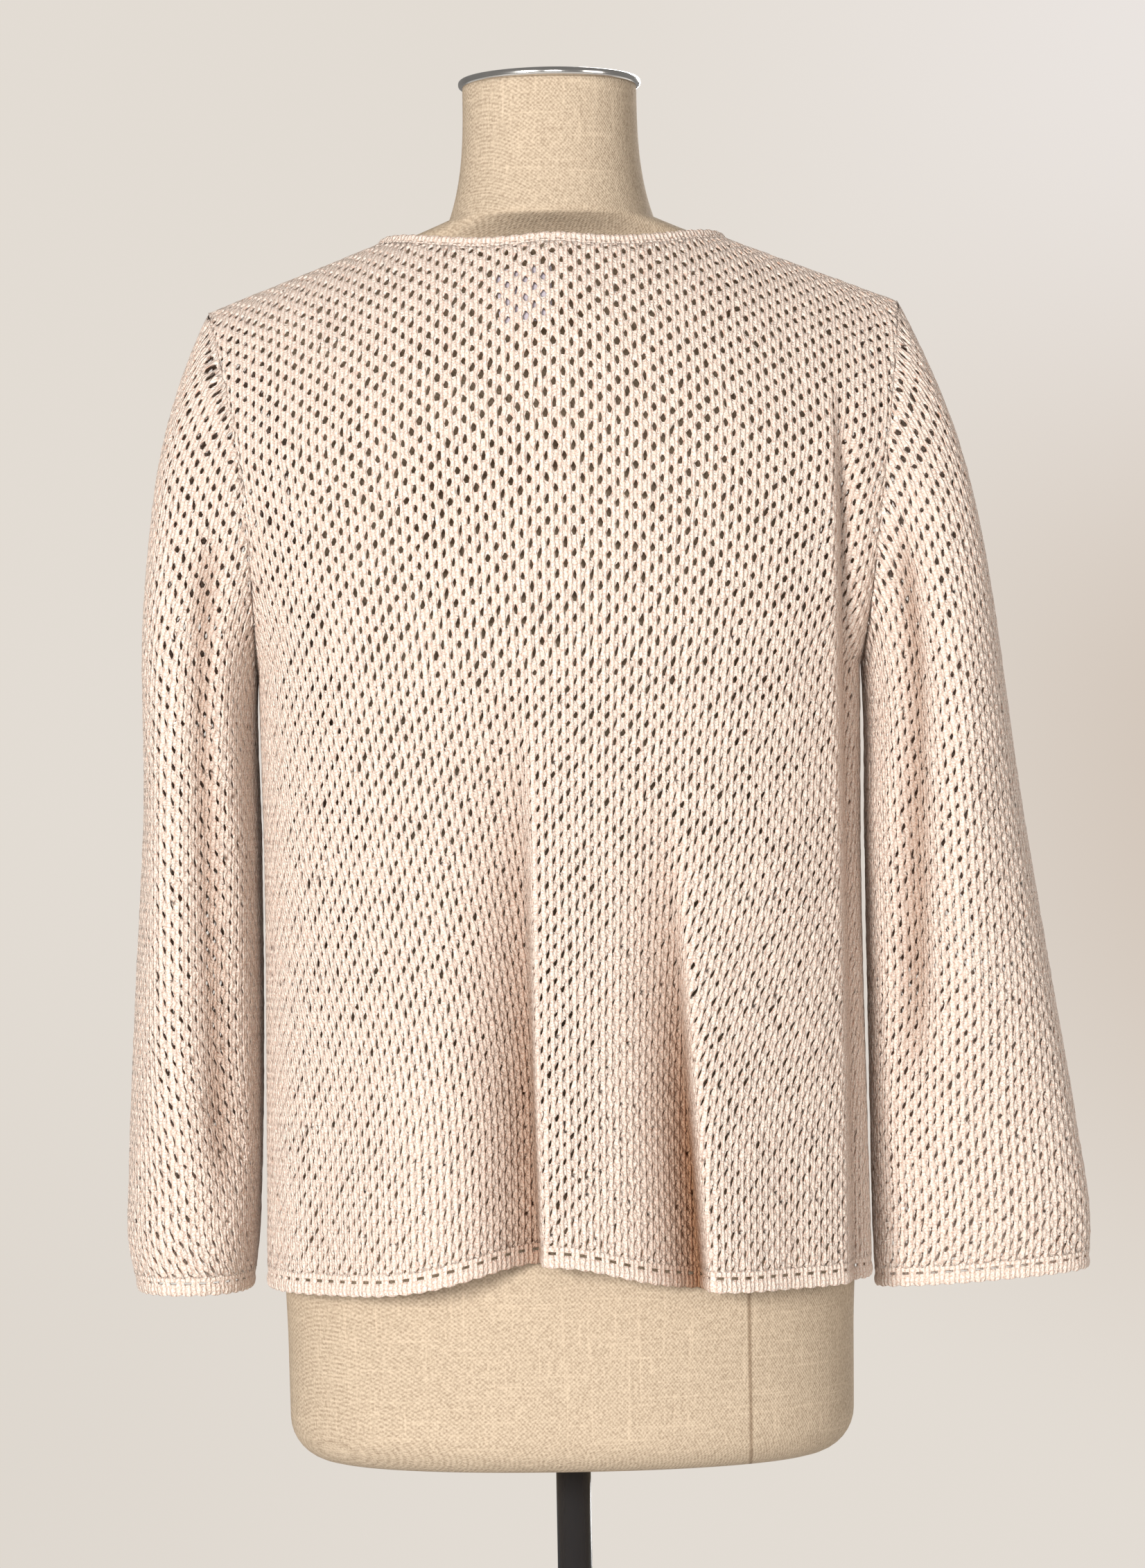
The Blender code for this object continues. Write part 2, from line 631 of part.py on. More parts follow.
def add_edging(name, edge, ways, outward, width, kind="trim", closed=False):
    """A band beside an edge: a wall from the seam gap out to its width."""
    shift = unit(outward - ways * np.sum(outward * ways, axis=-1, keepdims=True))
    rows = [edge + shift * SEAM_GAP, edge + shift * (SEAM_GAP + width)]
    band = np.stack(rows)
    return add_wall(name, band, np.stack([ways, ways]), TRIM_WALL, kind, closed)


def add_back():
    """The back panel, its hem and neck edging and the label inside it."""
    columns = even_columns(BACK_COLUMNS, 1, -1.0, 1.0)
    levels = body_levels()
    points, ways = body_grid(columns, levels, 1)
    add_wall("back", points, ways, KNIT_WALL, "knit")
    down = points[0] - points[1]
    add_edging("hem_edging_back", points[0], ways[0], down, HEM_TRIM)
    corner = NECK_SHARE - 2 * EDGE_STEP
    add_neck_edging("neck_edging_back", columns, 1, -corner, corner)
    first, last = LABEL_COLUMNS
    top = len(levels) - 1
    rows = slice(top - LABEL_ROWS[1], top - LABEL_ROWS[0] + 1)
    inward = KNIT_WALL / 2 + SEAM_GAP + LABEL_WALL / 2
    patch = points[rows, first:last + 1] - ways[rows, first:last + 1] * inward
    add_wall("neck_label", patch, ways[rows, first:last + 1], LABEL_WALL, "label")


def add_neck_edging(name, columns, face, start, end):
    """The edging on the neckline between two places across."""
    inside = columns[(columns > start + NECK_END_CLEAR) & (columns < end - NECK_END_CLEAR)]
    places = np.concatenate([[start], inside, [end]])
    top = np.full(len(places), 2.0)
    edge = body_surface(places, top, face)
    inward, ways = neck_rim(places, face)
    return add_edging(name, edge, ways, inward, NECK_TRIM)


def add_front(side):
    """One front panel with its hem, neck and front edging."""
    name = "left" if side > 0 else "right"
    ends = (CENTRE, 1.0) if side > 0 else (-1.0, -CENTRE)
    columns = even_columns(FRONT_COLUMNS, -1, *ends)
    levels = body_levels()
    points, ways = body_grid(columns, levels, -1)
    add_wall("front_" + name, points, ways, KNIT_WALL, "knit")
    down = points[0] - points[1]
    add_edging("hem_edging_" + name, points[0], ways[0], down, HEM_TRIM)
    centre = 0 if side > 0 else -1
    inward = points[:, centre] - points[:, centre + side]
    edge = points[:, centre].copy()
    edge[0] += unit(down[centre]) * (HEM_TRIM + SEAM_GAP)
    add_edging("front_edging_" + name, edge, ways[:, centre], inward, FRONT_TRIM)
    corner = NECK_SHARE - 2 * EDGE_STEP
    near, far = (columns[0], corner) if side > 0 else (-corner, columns[-1])
    add_neck_edging("neck_edging_" + name, columns, -1, near, far)


def add_sleeve(side):
    """One sleeve and its cuff edging."""
    name = "left" if side > 0 else "right"
    turn = np.arange(2 * HIGH_ROWS) * math.pi / HIGH_ROWS
    high = np.arange(SLEEVE_HIGH_ROWS) / SLEEVE_HIGH_ROWS
    low = 1 + np.arange(SLEEVE_LOW_ROWS + 1) / SLEEVE_LOW_ROWS
    angle, level = np.meshgrid(turn, np.concatenate([high, low]))
    points = sleeve_surface(angle, level, side)
    ways = sleeve_normal(angle, level, side)
    over, half_gap, _, sleeve_way = arm_seam(turn, side)
    points[0] += over * half_gap
    ways[0] = sleeve_way
    add_wall("sleeve_" + name, points, ways, KNIT_WALL, "knit", closed=True)
    down = points[-1] - points[-2]
    add_edging("cuff_edging_" + name, points[-1], ways[-1], down, CUFF_TRIM, closed=True)


def form_ring(half_width, half_depth, middle, height):
    """A level section of the form, a superellipse."""
    turn = np.arange(FORM_SIDES) * 2 * math.pi / FORM_SIDES
    reach = superellipse(turn, FORM_POWER)
    return stack(half_width * reach * np.cos(turn), middle + half_depth * reach * np.sin(turn), height)


def add_form():
    """The form: rounded bottom edge, torso, sloping shoulders and neck."""
    rings = []
    for lift in FORM_CORNER_STEPS:
        height = FORM_BOTTOM_Z + FORM_CORNER * lift
        inset = FORM_CORNER * (1 - math.sqrt(1 - (1 - lift) ** 2))
        width = along(FORM_ROWS, "half_width", height) - inset
        depth = along(FORM_ROWS, "half_depth", height) - inset
        rings.append(form_ring(width, depth, along(FORM_ROWS, "middle", height), height))
    heights = np.arange(FORM_BOTTOM_Z + FORM_CORNER, FORM_SHOULDER_Z - FORM_ROW_STEP / 4, FORM_ROW_STEP)
    for height in np.append(heights, FORM_SHOULDER_Z):
        size = [along(FORM_ROWS, column, height) for column in ("half_width", "half_depth", "middle")]
        rings.append(form_ring(*size, height))
    for part in FORM_SHOULDER_STEPS:
        width = FORM_SHOULDER_X + (FORM_NECK_BASE_X - FORM_SHOULDER_X) * part
        height = SHOULDER_Z + (SHOULDER_X - width) * SHOULDER_SLOPE - FORM_CLEAR
        depth = FORM_SHOULDER_DEPTH + (FORM_NECK_BASE_DEPTH - FORM_SHOULDER_DEPTH) * part ** 3
        rings.append(form_ring(width, depth, RIDGE_Y, height))
    base = SHOULDER_Z + (SHOULDER_X - FORM_NECK_BASE_X) * SHOULDER_SLOPE - FORM_CLEAR
    for part in FORM_NECK_STEPS:
        height = base + (FORM_NECK_TOP - base) * part
        flare = (1 - part) ** 3
        width = FORM_NECK_RADIUS + (FORM_NECK_BASE_X - FORM_NECK_RADIUS) * flare
        depth = FORM_NECK_RADIUS + (FORM_NECK_BASE_DEPTH - FORM_NECK_RADIUS) * flare
        rings.append(form_ring(width, depth, RIDGE_Y, height))
    add_loft("form_body", rings, "linen")


def add_stand():
    """The cap on the neck, and the pole, collar and base below."""
    bottom = FORM_NECK_TOP + SEAM_GAP
    rim = bottom + CAP_HEIGHT
    profile = [(CAP_RADIUS - CAP_BEVEL, bottom), (CAP_RADIUS, bottom + CAP_BEVEL)]
    profile += [(CAP_RADIUS, rim - CAP_BEVEL), (CAP_RADIUS - CAP_BEVEL, rim)]
    profile += [(CAP_RADIUS * radius, rim + CAP_DOME * lift) for radius, lift in CAP_DOME_STEPS]
    cap = add_turned("neck_cap", profile, "chrome")
    cap.location.y = RIDGE_Y
    collar_bottom = BASE_HEIGHT + SEAM_GAP
    collar_top = collar_bottom + COLLAR_HEIGHT
    profile = [(COLLAR_RADIUS, collar_bottom), (COLLAR_RADIUS, collar_bottom + COLLAR_FLANGE)]
    profile += [(COLLAR_NECK, collar_bottom + COLLAR_TAPER), (COLLAR_NECK, collar_top)]
    add_turned("pole_collar", profile, "black")
    profile = [(POLE_RADIUS, collar_top + SEAM_GAP), (POLE_RADIUS, FORM_BOTTOM_Z - SEAM_GAP)]
    add_turned("pole", profile, "black")
    profile = [(BASE_RADIUS, 0.0), (BASE_RADIUS, BASE_HEIGHT - BASE_BEVEL)]
    profile += [(BASE_RADIUS - BASE_BEVEL, BASE_HEIGHT)]
    add_turned("base", profile, "black", sides=2 * TURNED_SIDES)


def main():
    """Empties the scene and builds every piece."""
    for old in list(bpy.data.objects):
        bpy.data.objects.remove(old, do_unlink=True)
    add_back()
    for side in (1, -1):
        add_front(side)
        add_sleeve(side)
    add_form()
    add_stand()


main()
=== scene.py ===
"""The looks of the openwork cardigan on its dress form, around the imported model.

Every cloth piece repeats the surface of its solid, finely sampled: a function
of two parameters, on which a staggered net of holes is laid out by its length
along the cloth, so the knit keeps its gauge from hem to shoulder.
Axes: +X is the wearer's left, +Y the wearer's back, +Z up, in metres.
"""
import math
from collections import namedtuple

import bpy
import numpy as np
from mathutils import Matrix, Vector


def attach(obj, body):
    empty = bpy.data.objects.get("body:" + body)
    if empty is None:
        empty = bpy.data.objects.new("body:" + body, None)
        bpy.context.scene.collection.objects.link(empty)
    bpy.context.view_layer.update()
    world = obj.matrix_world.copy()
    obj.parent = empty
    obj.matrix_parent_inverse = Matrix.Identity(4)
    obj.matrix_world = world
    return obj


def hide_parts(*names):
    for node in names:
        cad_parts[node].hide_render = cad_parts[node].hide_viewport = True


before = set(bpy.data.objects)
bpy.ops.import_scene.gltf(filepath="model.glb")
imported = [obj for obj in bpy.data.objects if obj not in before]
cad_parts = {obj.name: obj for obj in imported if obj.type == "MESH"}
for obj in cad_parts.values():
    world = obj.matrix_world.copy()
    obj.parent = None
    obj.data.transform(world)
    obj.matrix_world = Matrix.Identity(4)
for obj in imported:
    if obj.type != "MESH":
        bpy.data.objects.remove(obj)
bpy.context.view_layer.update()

bl_info = {
    "name": "Cardigan on a dress form",
    "version": (1, 0, 0),
    "blender": (4, 5, 0),
    "location": "View3D > Sidebar > Cardigan",
    "description": "Builds an openwork knit cardigan on a limbless dress form",
    "category": "Object",
}

# Shoulder, neck and armhole
SHOULDER_X = 0.207
SHOULDER_Z = 1.422
RIDGE_Y = 0.012
NECK_X = 0.107
NECK_SHARE = 0.7
NECK_CUT = {1: 44.0, -1: 77.0}
NECK_CUT_POWER = 1.3
NECK_CLIMB_SIDE = 0.66
NECK_CLIMB_MIDDLE = 0.95
SHOULDER_SLOPE = 0.39
CLIMB_ROUND = 0.018
UNDERARM_X = 0.180
UNDERARM_Y = 0.010
UNDERARM_Z = 1.205
UNDERARM_APART = 0.0030
ARMHOLE_BACK_Y = 0.066
ARMHOLE_FRONT_Y = -0.050
ARMHOLE_TURN = {1: 2.4, -1: 0.9}
QUIET_POWER = 14
SEAM_GAP = 0.0003
CENTRE = 1e-6

# Hem, fronts and edging
HEM_Z = 0.8375
HEM_RISE = 0.019
HEM_RISE_X = 0.013
HEM_RISE_WIDTH = 0.060
FRONT_OPEN_TOP = 0.0035
FRONT_OPEN_HEM = 0.0110
FRONT_TRIM = 0.010
HEM_TRIM = 0.012
NECK_TRIM = 0.007
CUFF_TRIM = 0.011
SECTION_POWER = 2.5

# Half width of the body and the depth of its back and front
BodyRow = namedtuple("BodyRow", "height half_width back front")
BODY_ROWS = (
    BodyRow(0.830, 0.1810, 0.136, -0.134),
    BodyRow(0.950, 0.1795, 0.129, -0.135),
    BodyRow(1.080, 0.1785, 0.122, -0.138),
    BodyRow(1.205, 0.1800, 0.118, -0.141),
    BodyRow(1.310, 0.1800, 0.114, -0.129),
    BodyRow(1.355, 0.1800, 0.112, -0.113),
    BodyRow(1.390, 0.1800, 0.111, -0.098),
    BodyRow(1.460, 0.1800, 0.110, -0.090),
)

# Folds of the body: place at the hem, lean, heights, fade, depth and widths
Fold = namedtuple("Fold", "place lean top bottom fade depth left right")
BACK_FOLDS = (
    Fold(0.082, 0.020, 1.120, 0.0, 0.28, 0.006, 0.034, 0.036),
    Fold(0.142, -0.010, 1.050, 0.0, 0.18, -0.004, 0.016, 0.018),
    Fold(-0.130, 0.040, 1.080, 0.0, 0.24, -0.004, 0.016, 0.020),
)
# Pleats: a lip laid over a recess, which lies to the left (1) or right (-1); tint scales the recess's
# crease value, which narrows holes and sets the painted shade in creases
Pleat = namedtuple("Pleat", "place lean top bottom fade way recess width lip lip_width over tint")
BACK_PLEATS = (
    Pleat(0.0125, 0.022, 1.230, 0.0, 0.30, 1, 0.019, 0.030, 0.012, 0.040, 0.0045, 0.74),
    Pleat(-0.0810, 0.058, 1.160, 0.0, 0.26, 1, 0.021, 0.026, 0.006, 0.030, 0.0020, 1.0),
    Pleat(-0.1645, 0.000, 1.390, 0.0, 0.10, -1, 0.015, 0.010, 0.002, 0.012, 0.0020, 0.4),
)
PLEAT_SOFT = 0.0045
# Crease depths from start to full, which narrow holes and set the painted shade in creases
CREASE_START = 0.003
CREASE_FULL = 0.011
FRONT_FOLDS = (
    Fold(0.048, 0.020, 1.120, 0.0, 0.24, 0.008, 0.020, 0.018),
    Fold(0.088, 0.010, 1.150, 0.0, 0.26, -0.010, 0.018, 0.020),
    Fold(0.130, 0.000, 1.080, 0.0, 0.20, 0.006, 0.018, 0.018),
    Fold(-0.038, -0.020, 1.100, 0.0, 0.22, 0.007, 0.016, 0.020),
    Fold(-0.078, -0.010, 1.160, 0.0, 0.28, -0.011, 0.020, 0.018),
    Fold(-0.120, 0.000, 1.060, 0.0, 0.20, 0.007, 0.018, 0.020),
)

# Sleeve sections, from just below the underarm to the cuff
SleeveRow = namedtuple("SleeveRow", "height outer inner back front")
SLEEVE_ROWS = {
    1: (
        SleeveRow(1.100, 0.2525, 0.1838, 0.070, -0.076),
        SleeveRow(0.985, 0.2602, 0.1845, 0.066, -0.070),
        SleeveRow(0.900, 0.2646, 0.1870, 0.062, -0.064),
        SleeveRow(0.865, 0.2655, 0.1890, 0.060, -0.061),
        SleeveRow(0.830, 0.2590, 0.1935, 0.054, -0.056),
    ),
    -1: (
        SleeveRow(1.100, 0.2790, 0.1838, 0.076, -0.058),
        SleeveRow(1.017, 0.2920, 0.1839, 0.066, -0.050),
        SleeveRow(0.933, 0.3053, 0.1841, 0.053, -0.037),
        SleeveRow(0.860, 0.3136, 0.1846, 0.045, -0.028),
        SleeveRow(0.830, 0.3115, 0.1855, 0.042, -0.026),
    ),
}
SLEEVE_POWER = 2.3
SLEEVE_TOP_Z = 1.100
SLEEVE_TOP_STEP = 0.030
SLEEVE_FOLD_START = 0.3
CUFF_Z = {1: 0.8340, -1: 0.8335}
CUFF_SLOPE = {1: 0.0000, -1: 0.0045}
LEAVE_OUT = 0.06
LEAVE_OUT_TOP = 0.21
LEAVE_OUT_SIDES = 0.70
LEAVE_BACK = 0.22
LEAVE_DOWN = 0.45
LEAVE_DOWN_ENDS = 0.50
HANDLE_ENDS = 0.34
HANDLE_SIDES = 0.14
HANDLE_BELOW = 0.33
SleeveFold = namedtuple("SleeveFold", "angle_top angle_low top bottom fade depth width")
SLEEVE_FOLDS = {
    1: (
        SleeveFold(80, 122, 1.330, 0.900, 0.09, -0.009, 20),
        SleeveFold(45, 80, 1.300, 0.940, 0.10, 0.006, 26),
        SleeveFold(250, 235, 1.280, 0.920, 0.12, -0.008, 20),
        SleeveFold(300, 310, 1.200, 0.860, 0.12, -0.005, 22),
    ),
    -1: (
        SleeveFold(100, 128, 1.400, 0.960, 0.14, -0.009, 17),
        SleeveFold(70, 92, 1.320, 0.960, 0.14, 0.004, 20),
        SleeveFold(255, 240, 1.290, 0.900, 0.12, -0.008, 20),
        SleeveFold(305, 300, 1.180, 0.870, 0.10, -0.004, 22),
    ),
}

# Dress form and stand
FormRow = namedtuple("FormRow", "height half_width half_depth middle")
FORM_ROWS = (
    FormRow(0.730, 0.1700, 0.108, 0.000),
    FormRow(0.800, 0.1710, 0.109, 0.000),
    FormRow(0.900, 0.1715, 0.110, 0.000),
    FormRow(1.000, 0.1480, 0.098, 0.000),
    FormRow(1.080, 0.1230, 0.086, -0.002),
    FormRow(1.160, 0.1310, 0.095, -0.007),
    FormRow(1.240, 0.1460, 0.115, -0.013),
    FormRow(1.300, 0.1560, 0.105, -0.006),
    FormRow(1.350, 0.1640, 0.086, 0.002),
    FormRow(1.385, 0.1760, 0.068, 0.008),
    FormRow(1.404, 0.1840, 0.048, RIDGE_Y),
)
FORM_COLUMNS = FormRow._fields[1:]
FORM_SIDES = 192
CORNER_RINGS = 10
TORSO_RINGS = 90
SHOULDER_RINGS = 24
NECK_RINGS = 26
FORM_POWER = 2.2
FORM_SHOULDER_X = 0.182
FORM_SHOULDER_Z = 1.404
FORM_BOTTOM_Z = 0.730
FORM_CORNER = 0.026
FORM_NECK_TOP = 1.555
FORM_NECK_RADIUS = 0.0525
FORM_NECK_BASE_X = 0.062
FORM_NECK_BASE_DEPTH = 0.062
FORM_SHOULDER_DEPTH = 0.028
FORM_CLEAR = 0.0036
CAP_RADIUS = 0.055
CAP_HEIGHT = 0.005
CAP_DOME = 0.003
CAP_EDGE = 0.0022
POLE_RADIUS = 0.0105
COLLAR_RADIUS = 0.024
COLLAR_HEIGHT = 0.030
COLLAR_BAND = 0.0055
COLLAR_TAPER_FROM = 0.006
COLLAR_NECK_RADIUS = 0.014
COLLAR_TAPER = 0.010
COLLAR_BEVEL = 0.001
BASE_RADIUS = 0.180
BASE_HEIGHT = 0.008
BASE_BEVEL = 0.0005
BASE_EDGE = 0.003
CAP_SIDES = 128
POLE_SIDES = 64
BASE_SIDES = 160
EDGE_STEPS = 7
TAPER_STEPS = 9
DOME_STEPS = 12
DOME_OUTER = 0.9
DOME_INNER = 0.05

# Knit: distances between columns and between rows of holes
COLUMN_STEP = 0.0054
ROW_STEP = 0.0104
# Share of the column distance at heights of the body, and on the sleeves
FAN = ((0.98, 0.78), (1.15, 0.83), (1.26, 0.93), (1.37, 1.0))
SLEEVE_FAN = 0.90
SLEEVE_ROWS_MORE = 1.01

# A cell of the net: half its bar as a share of the column distance, how far its crests
# and the ring round its hole stand out, and how uneven they are
BAR_SHARE = 0.22
CREST_OUT = 0.00115
CREST_IN = 0.00115
SHOULDER_OUT = 0.00100
SHOULDER_WIDE = 1.30
EDGE_WIDE = 1.08
RING_TALLER = 0.7
HOLE_TOP_X = 0.55
RING_SHARE = (0.24, 0.30)
RIM_REACH = 1.3
PANEL_SLACK = 0.05
NECK_SLACK = 0.02
CREST_ROUGH = 0.10
CREST_WANDER = 0.00022
HOLE_ROUGH = 0.17
ROUGH_LIMIT = 2

# Small steps for directions, and how finely the surfaces are sampled
EDGE_STEP = 0.0008
LEVEL_STEP = 0.0096
TURN_STEP = 0.004
ROW_SAMPLES = 721
RISE_SAMPLES = 400
TURN_SAMPLES = 181
DROP_SAMPLES = 161
HEM_SAMPLES = 400
NECK_SAMPLES = 300
CUFF_SAMPLES = 241
BESIDE_STEP = 0.02
AT_SEAM = 1e-6

# Distances between loops, cords, stitches and linen threads, and the yarn's relief
LOOP_STEP = 0.0090
CORD_STEP = COLUMN_STEP / 2
STITCH_STEP = ROW_STEP / 5
YARN_BEND = 0.0020
YARN_RELIEF = 0.00085
LINEN_STEP = 0.0026
FORM_SEAM = -0.105

# Half sizes of holes as shares of a cell: heights over which they grow, width, width
# gained, roughness of the width and how much it calms, height and the same, slant
HoleSize = namedtuple("HoleSize", "start rise wide wider rough_x calm_x tall rough_z calm_z slant")
HOLES = {
    "back": HoleSize(1.08, 0.30, 0.220, 0.10, 0.26, 0.14, 0.390, 0.14, 0.07, -0.40),
    "front": HoleSize(1.08, 0.30, 0.154, 0.07, 0.26, 0.14, 0.351, 0.14, 0.07, 0.0),
    "sleeve": HoleSize(1.15, 0.25, 0.200, 0.13, 0.24, 0.0, 0.360, 0.14, 0.0, -0.40),
}
SLANT_ROUGH = 0.12
CREASE_SHUT = 0.80
CREASE_SHUT_POWER = 0.7
SHUT_HEIGHT = 0.6

# How open the holes are in places on the back: middle, reach and share left
Patch = namedtuple("Patch", "x z reach_x reach_z share")
BACK_PATCHES = (
    Patch(-0.030, 0.930, 0.018, 0.120, 0.35),
    Patch(0.078, 0.910, 0.020, 0.090, 0.50),
)

# The edging's section from its seam outwards: place across, half thickness, and the
# share that it swells by at the loops
EdgingRow = namedtuple("EdgingRow", "across thick swell")
EDGING_ROWS = (
    EdgingRow(-0.09, 0.00080, 0.00),
    EdgingRow(0.10, 0.00110, 0.00),
    EdgingRow(0.20, 0.00085, 0.00),
    EdgingRow(0.34, 0.00085, 0.00),
    EdgingRow(0.46, 0.00115, 0.15),
    EdgingRow(0.60, 0.00155, 0.30),
    EdgingRow(0.75, 0.00160, 0.35),
    EdgingRow(0.88, 0.00140, 0.35),
    EdgingRow(0.97, 0.00090, 0.30),
    EdgingRow(1.00, 0.00045, 0.30),
)
LOOP_PARTS = 8
DASH_ROW = 2
DASH_START = 2
DASH_END = 6
SCALLOP = 0.10

# Noises of the materials: scale, detail and roughness
Noise = namedtuple("Noise", "scale detail roughness", defaults=(0.5,))
YARN_BENDS = Noise(300.0, 2.0)
YARN_UNEVEN = Noise(460.0, 1.0)
YARN_FINE = Noise(2100.0, 3.0, 0.65)
YARN_CURLS = Noise(1000.0, 2.0)
YARN_FLECKS = Noise(900.0, 1.0)
YARN_TONES = Noise(60.0, 2.0)
LINEN_SLUBS = Noise(150.0, 4.0, 0.7)
LINEN_SPECKLE = Noise(620.0, 2.0)
LINEN_STREAKS = Noise(2.0, 3.0)
METAL_WEAR = Noise(140.0, 5.0)
METAL_SMUDGES = Noise(22.0, 3.0)
PAPER_TONES = Noise(0.8, 2.0)
SLUB_ACROSS = 0.0050
SLUB_UP = 0.0042
STREAK_FINE = 260.0
STREAK_LONG = 9.0
SEAM_WIDE = 0.0016
SEAM_CORE = 0.0004
TWILL_STEP = 0.0009
STITCH_TILT = -0.45
TONE_TINT = (0.85, 0.80, 0.76)
# Painted shade: in creases the yarn's colour is multiplied towards this, more the deeper the crease
PAINTED_CREASE_SHADE = (0.35, 0.20, 0.11)

# Camera, floor and lamps
CAMERA_PLACE = (-0.0067, 2.86, 1.135)
CAMERA_ROLL = 0.0175
CAMERA_LENS = 108.3
CAMERA_SENSOR = 36.0
FLOOR_SIDES = 96
FLOOR_RINGS = (0.001, 0.5, 1.2, 2.2, 3.4)
FLOOR_Z = -0.0005
FLOOR_DARK = (0.68, 0.665, 0.645)
FLOOR_LIGHT = (0.72, 0.705, 0.685)
Lamp = namedtuple("Lamp", "name place aim_z size power colour")
LAMPS = (
    Lamp("key_light", (2.9, 5.5, 2.0), 1.15, 1.6, 440, (1.0, 0.975, 0.94)),
    Lamp("fill_light", (-4.4, 2.8, 1.6), 1.10, 2.4, 60, (1.0, 0.95, 0.90)),
    Lamp("far_light", (-1.4, -4.8, 2.8), 1.10, 2.4, 260, (1.0, 0.98, 0.96)),
    Lamp("front_light", (-0.6, 6.0, 1.7), 1.15, 1.6, 90, (1.0, 0.98, 0.96)),
)

# The air: its colour, its painted light and shade by direction as lighter and darker patches on the
# backdrop, and the light it gives
AIR_COLOUR = (0.765, 0.715, 0.655)
PaintedAirLight = namedtuple("PaintedAirLight", "way reach strength colour")
AIR_PAINTED_LIGHT = (
    PaintedAirLight((-0.175, -0.984, 0.000), 0.17, 0.85, (0.600, 0.500, 0.420)),
    PaintedAirLight((-0.140, -0.975, 0.170), 0.16, 0.80, (0.845, 0.800, 0.775)),
    PaintedAirLight((0.140, -0.985, -0.130), 0.14, 0.50, (0.700, 0.650, 0.590)),
)
AIR_LIGHT = (0.235, 0.226, 0.216)

# The cut of each panel: flat size, area, what it rests on and what is sewn to it
Cut = namedtuple("Cut", "piece flat area held rests_on sewn")
CUTS = (
    Cut("knit_back", (0.570, 0.675), 0.293, "draped", ("linen_form",),
        ("crochet_hem_back", "crochet_neck_back")),
    Cut("knit_front_left", (0.288, 0.672), 0.141, "draped", ("linen_form",),
        ("crochet_hem_left", "crochet_neck_left", "crochet_front_left")),
    Cut("knit_front_right", (0.288, 0.672), 0.142, "draped", ("linen_form",),
        ("crochet_hem_right", "crochet_neck_right", "crochet_front_right")),
    Cut("knit_sleeve_left", (0.540, 0.585), 0.165, "hung", ("knit_back", "knit_front_left"),
        ("crochet_cuff_left",)),
    Cut("knit_sleeve_right", (0.540, 0.585), 0.168, "hung", ("knit_back", "knit_front_right"),
        ("crochet_cuff_right",)),
)


def smooth_step(value):
    """Rises from 0 to 1 as the value does, level at both ends."""
    value = np.clip(value, 0.0, 1.0)
    return value * value * (3.0 - 2.0 * value)


def unit(vectors):
    """Vectors made one metre long."""
    return vectors / np.maximum(np.linalg.norm(vectors, axis=-1, keepdims=True), 1e-12)


def lengths_along(points):
    """The length from the first point to each, along every row of points."""
    steps = np.linalg.norm(np.diff(points, axis=-2), axis=-1)
    return np.concatenate([np.zeros_like(steps[..., :1]), np.cumsum(steps, axis=-1)], axis=-1)


def chance(draw, *shape):
    """Random numbers round 0, without far ones."""
    return np.clip(draw.normal(0, 1, shape), -ROUGH_LIMIT, ROUGH_LIMIT)


def stack(x, y, z):
    """Points from their coordinates, spread to one shape."""
    return np.stack(np.broadcast_arrays(x, y, z), axis=-1)


def along(rows, column, height):
    """A column of a table as a smooth curve of the height, level past its ends."""
    table = sorted(rows)
    heights = np.array([row.height for row in table])
    values = np.array([getattr(row, column) for row in table])
    slopes = np.gradient(values, heights)
    at = np.clip(height, heights[0], heights[-1])
    low = np.clip(np.searchsorted(heights, at) - 1, 0, len(heights) - 2)
    span = heights[low + 1] - heights[low]
    part = (at - heights[low]) / span
    start = values[low] * (1 + 2 * part) * (1 - part) ** 2
    end = values[low + 1] * part ** 2 * (3 - 2 * part)
    leave = slopes[low] * span * part * (1 - part) ** 2
    arrive = slopes[low + 1] * span * part ** 2 * (part - 1)
    return start + end + leave + arrive


def superellipse(angle, power):
    """The radius at an angle of a superellipse one metre in half width."""
    return (np.abs(np.cos(angle)) ** power + np.abs(np.sin(angle)) ** power) ** (-1 / power)


def armhole(angle, side):
    """The armhole loop: its height follows a cosine of the angle, its depth a sine."""
    up = (1 + np.cos(angle)) / 2
    swing = np.sin(angle)
    middle = np.where(up > 0.5, RIDGE_Y, UNDERARM_Y)
    widest = np.where(swing >= 0, ARMHOLE_BACK_Y, ARMHOLE_FRONT_Y)
    x = UNDERARM_X + (SHOULDER_X - UNDERARM_X) * up ** ARMHOLE_TURN[side]
    y = middle + (widest - middle) * np.abs(swing)
    z = UNDERARM_Z + (SHOULDER_Z - UNDERARM_Z) * up
    return stack(side * x, y, z)


def hem_height(across, face):
    """The lower edge of a panel, which rises over the pleat in the back."""
    rise = np.exp(-((across - HEM_RISE_X) / HEM_RISE_WIDTH) ** 2)
    return HEM_Z + HEM_TRIM + SEAM_GAP + HEM_RISE * rise * (face > 0)


def fold_depth(folds, x, z):
    """All folds added up: each is a bell across, faded at its ends."""
    total = np.zeros(np.broadcast(x, z).shape)
    for fold in folds:
        offset = x - fold.place - fold.lean * (z - HEM_Z)
        width = np.where(offset > 0, fold.left, fold.right)
        start = smooth_step((fold.top - z) / fold.fade)
        end = smooth_step((z - fold.bottom) / fold.fade)
        total = total + fold.depth * start * end * np.exp(-(offset / width) ** 2)
    return total


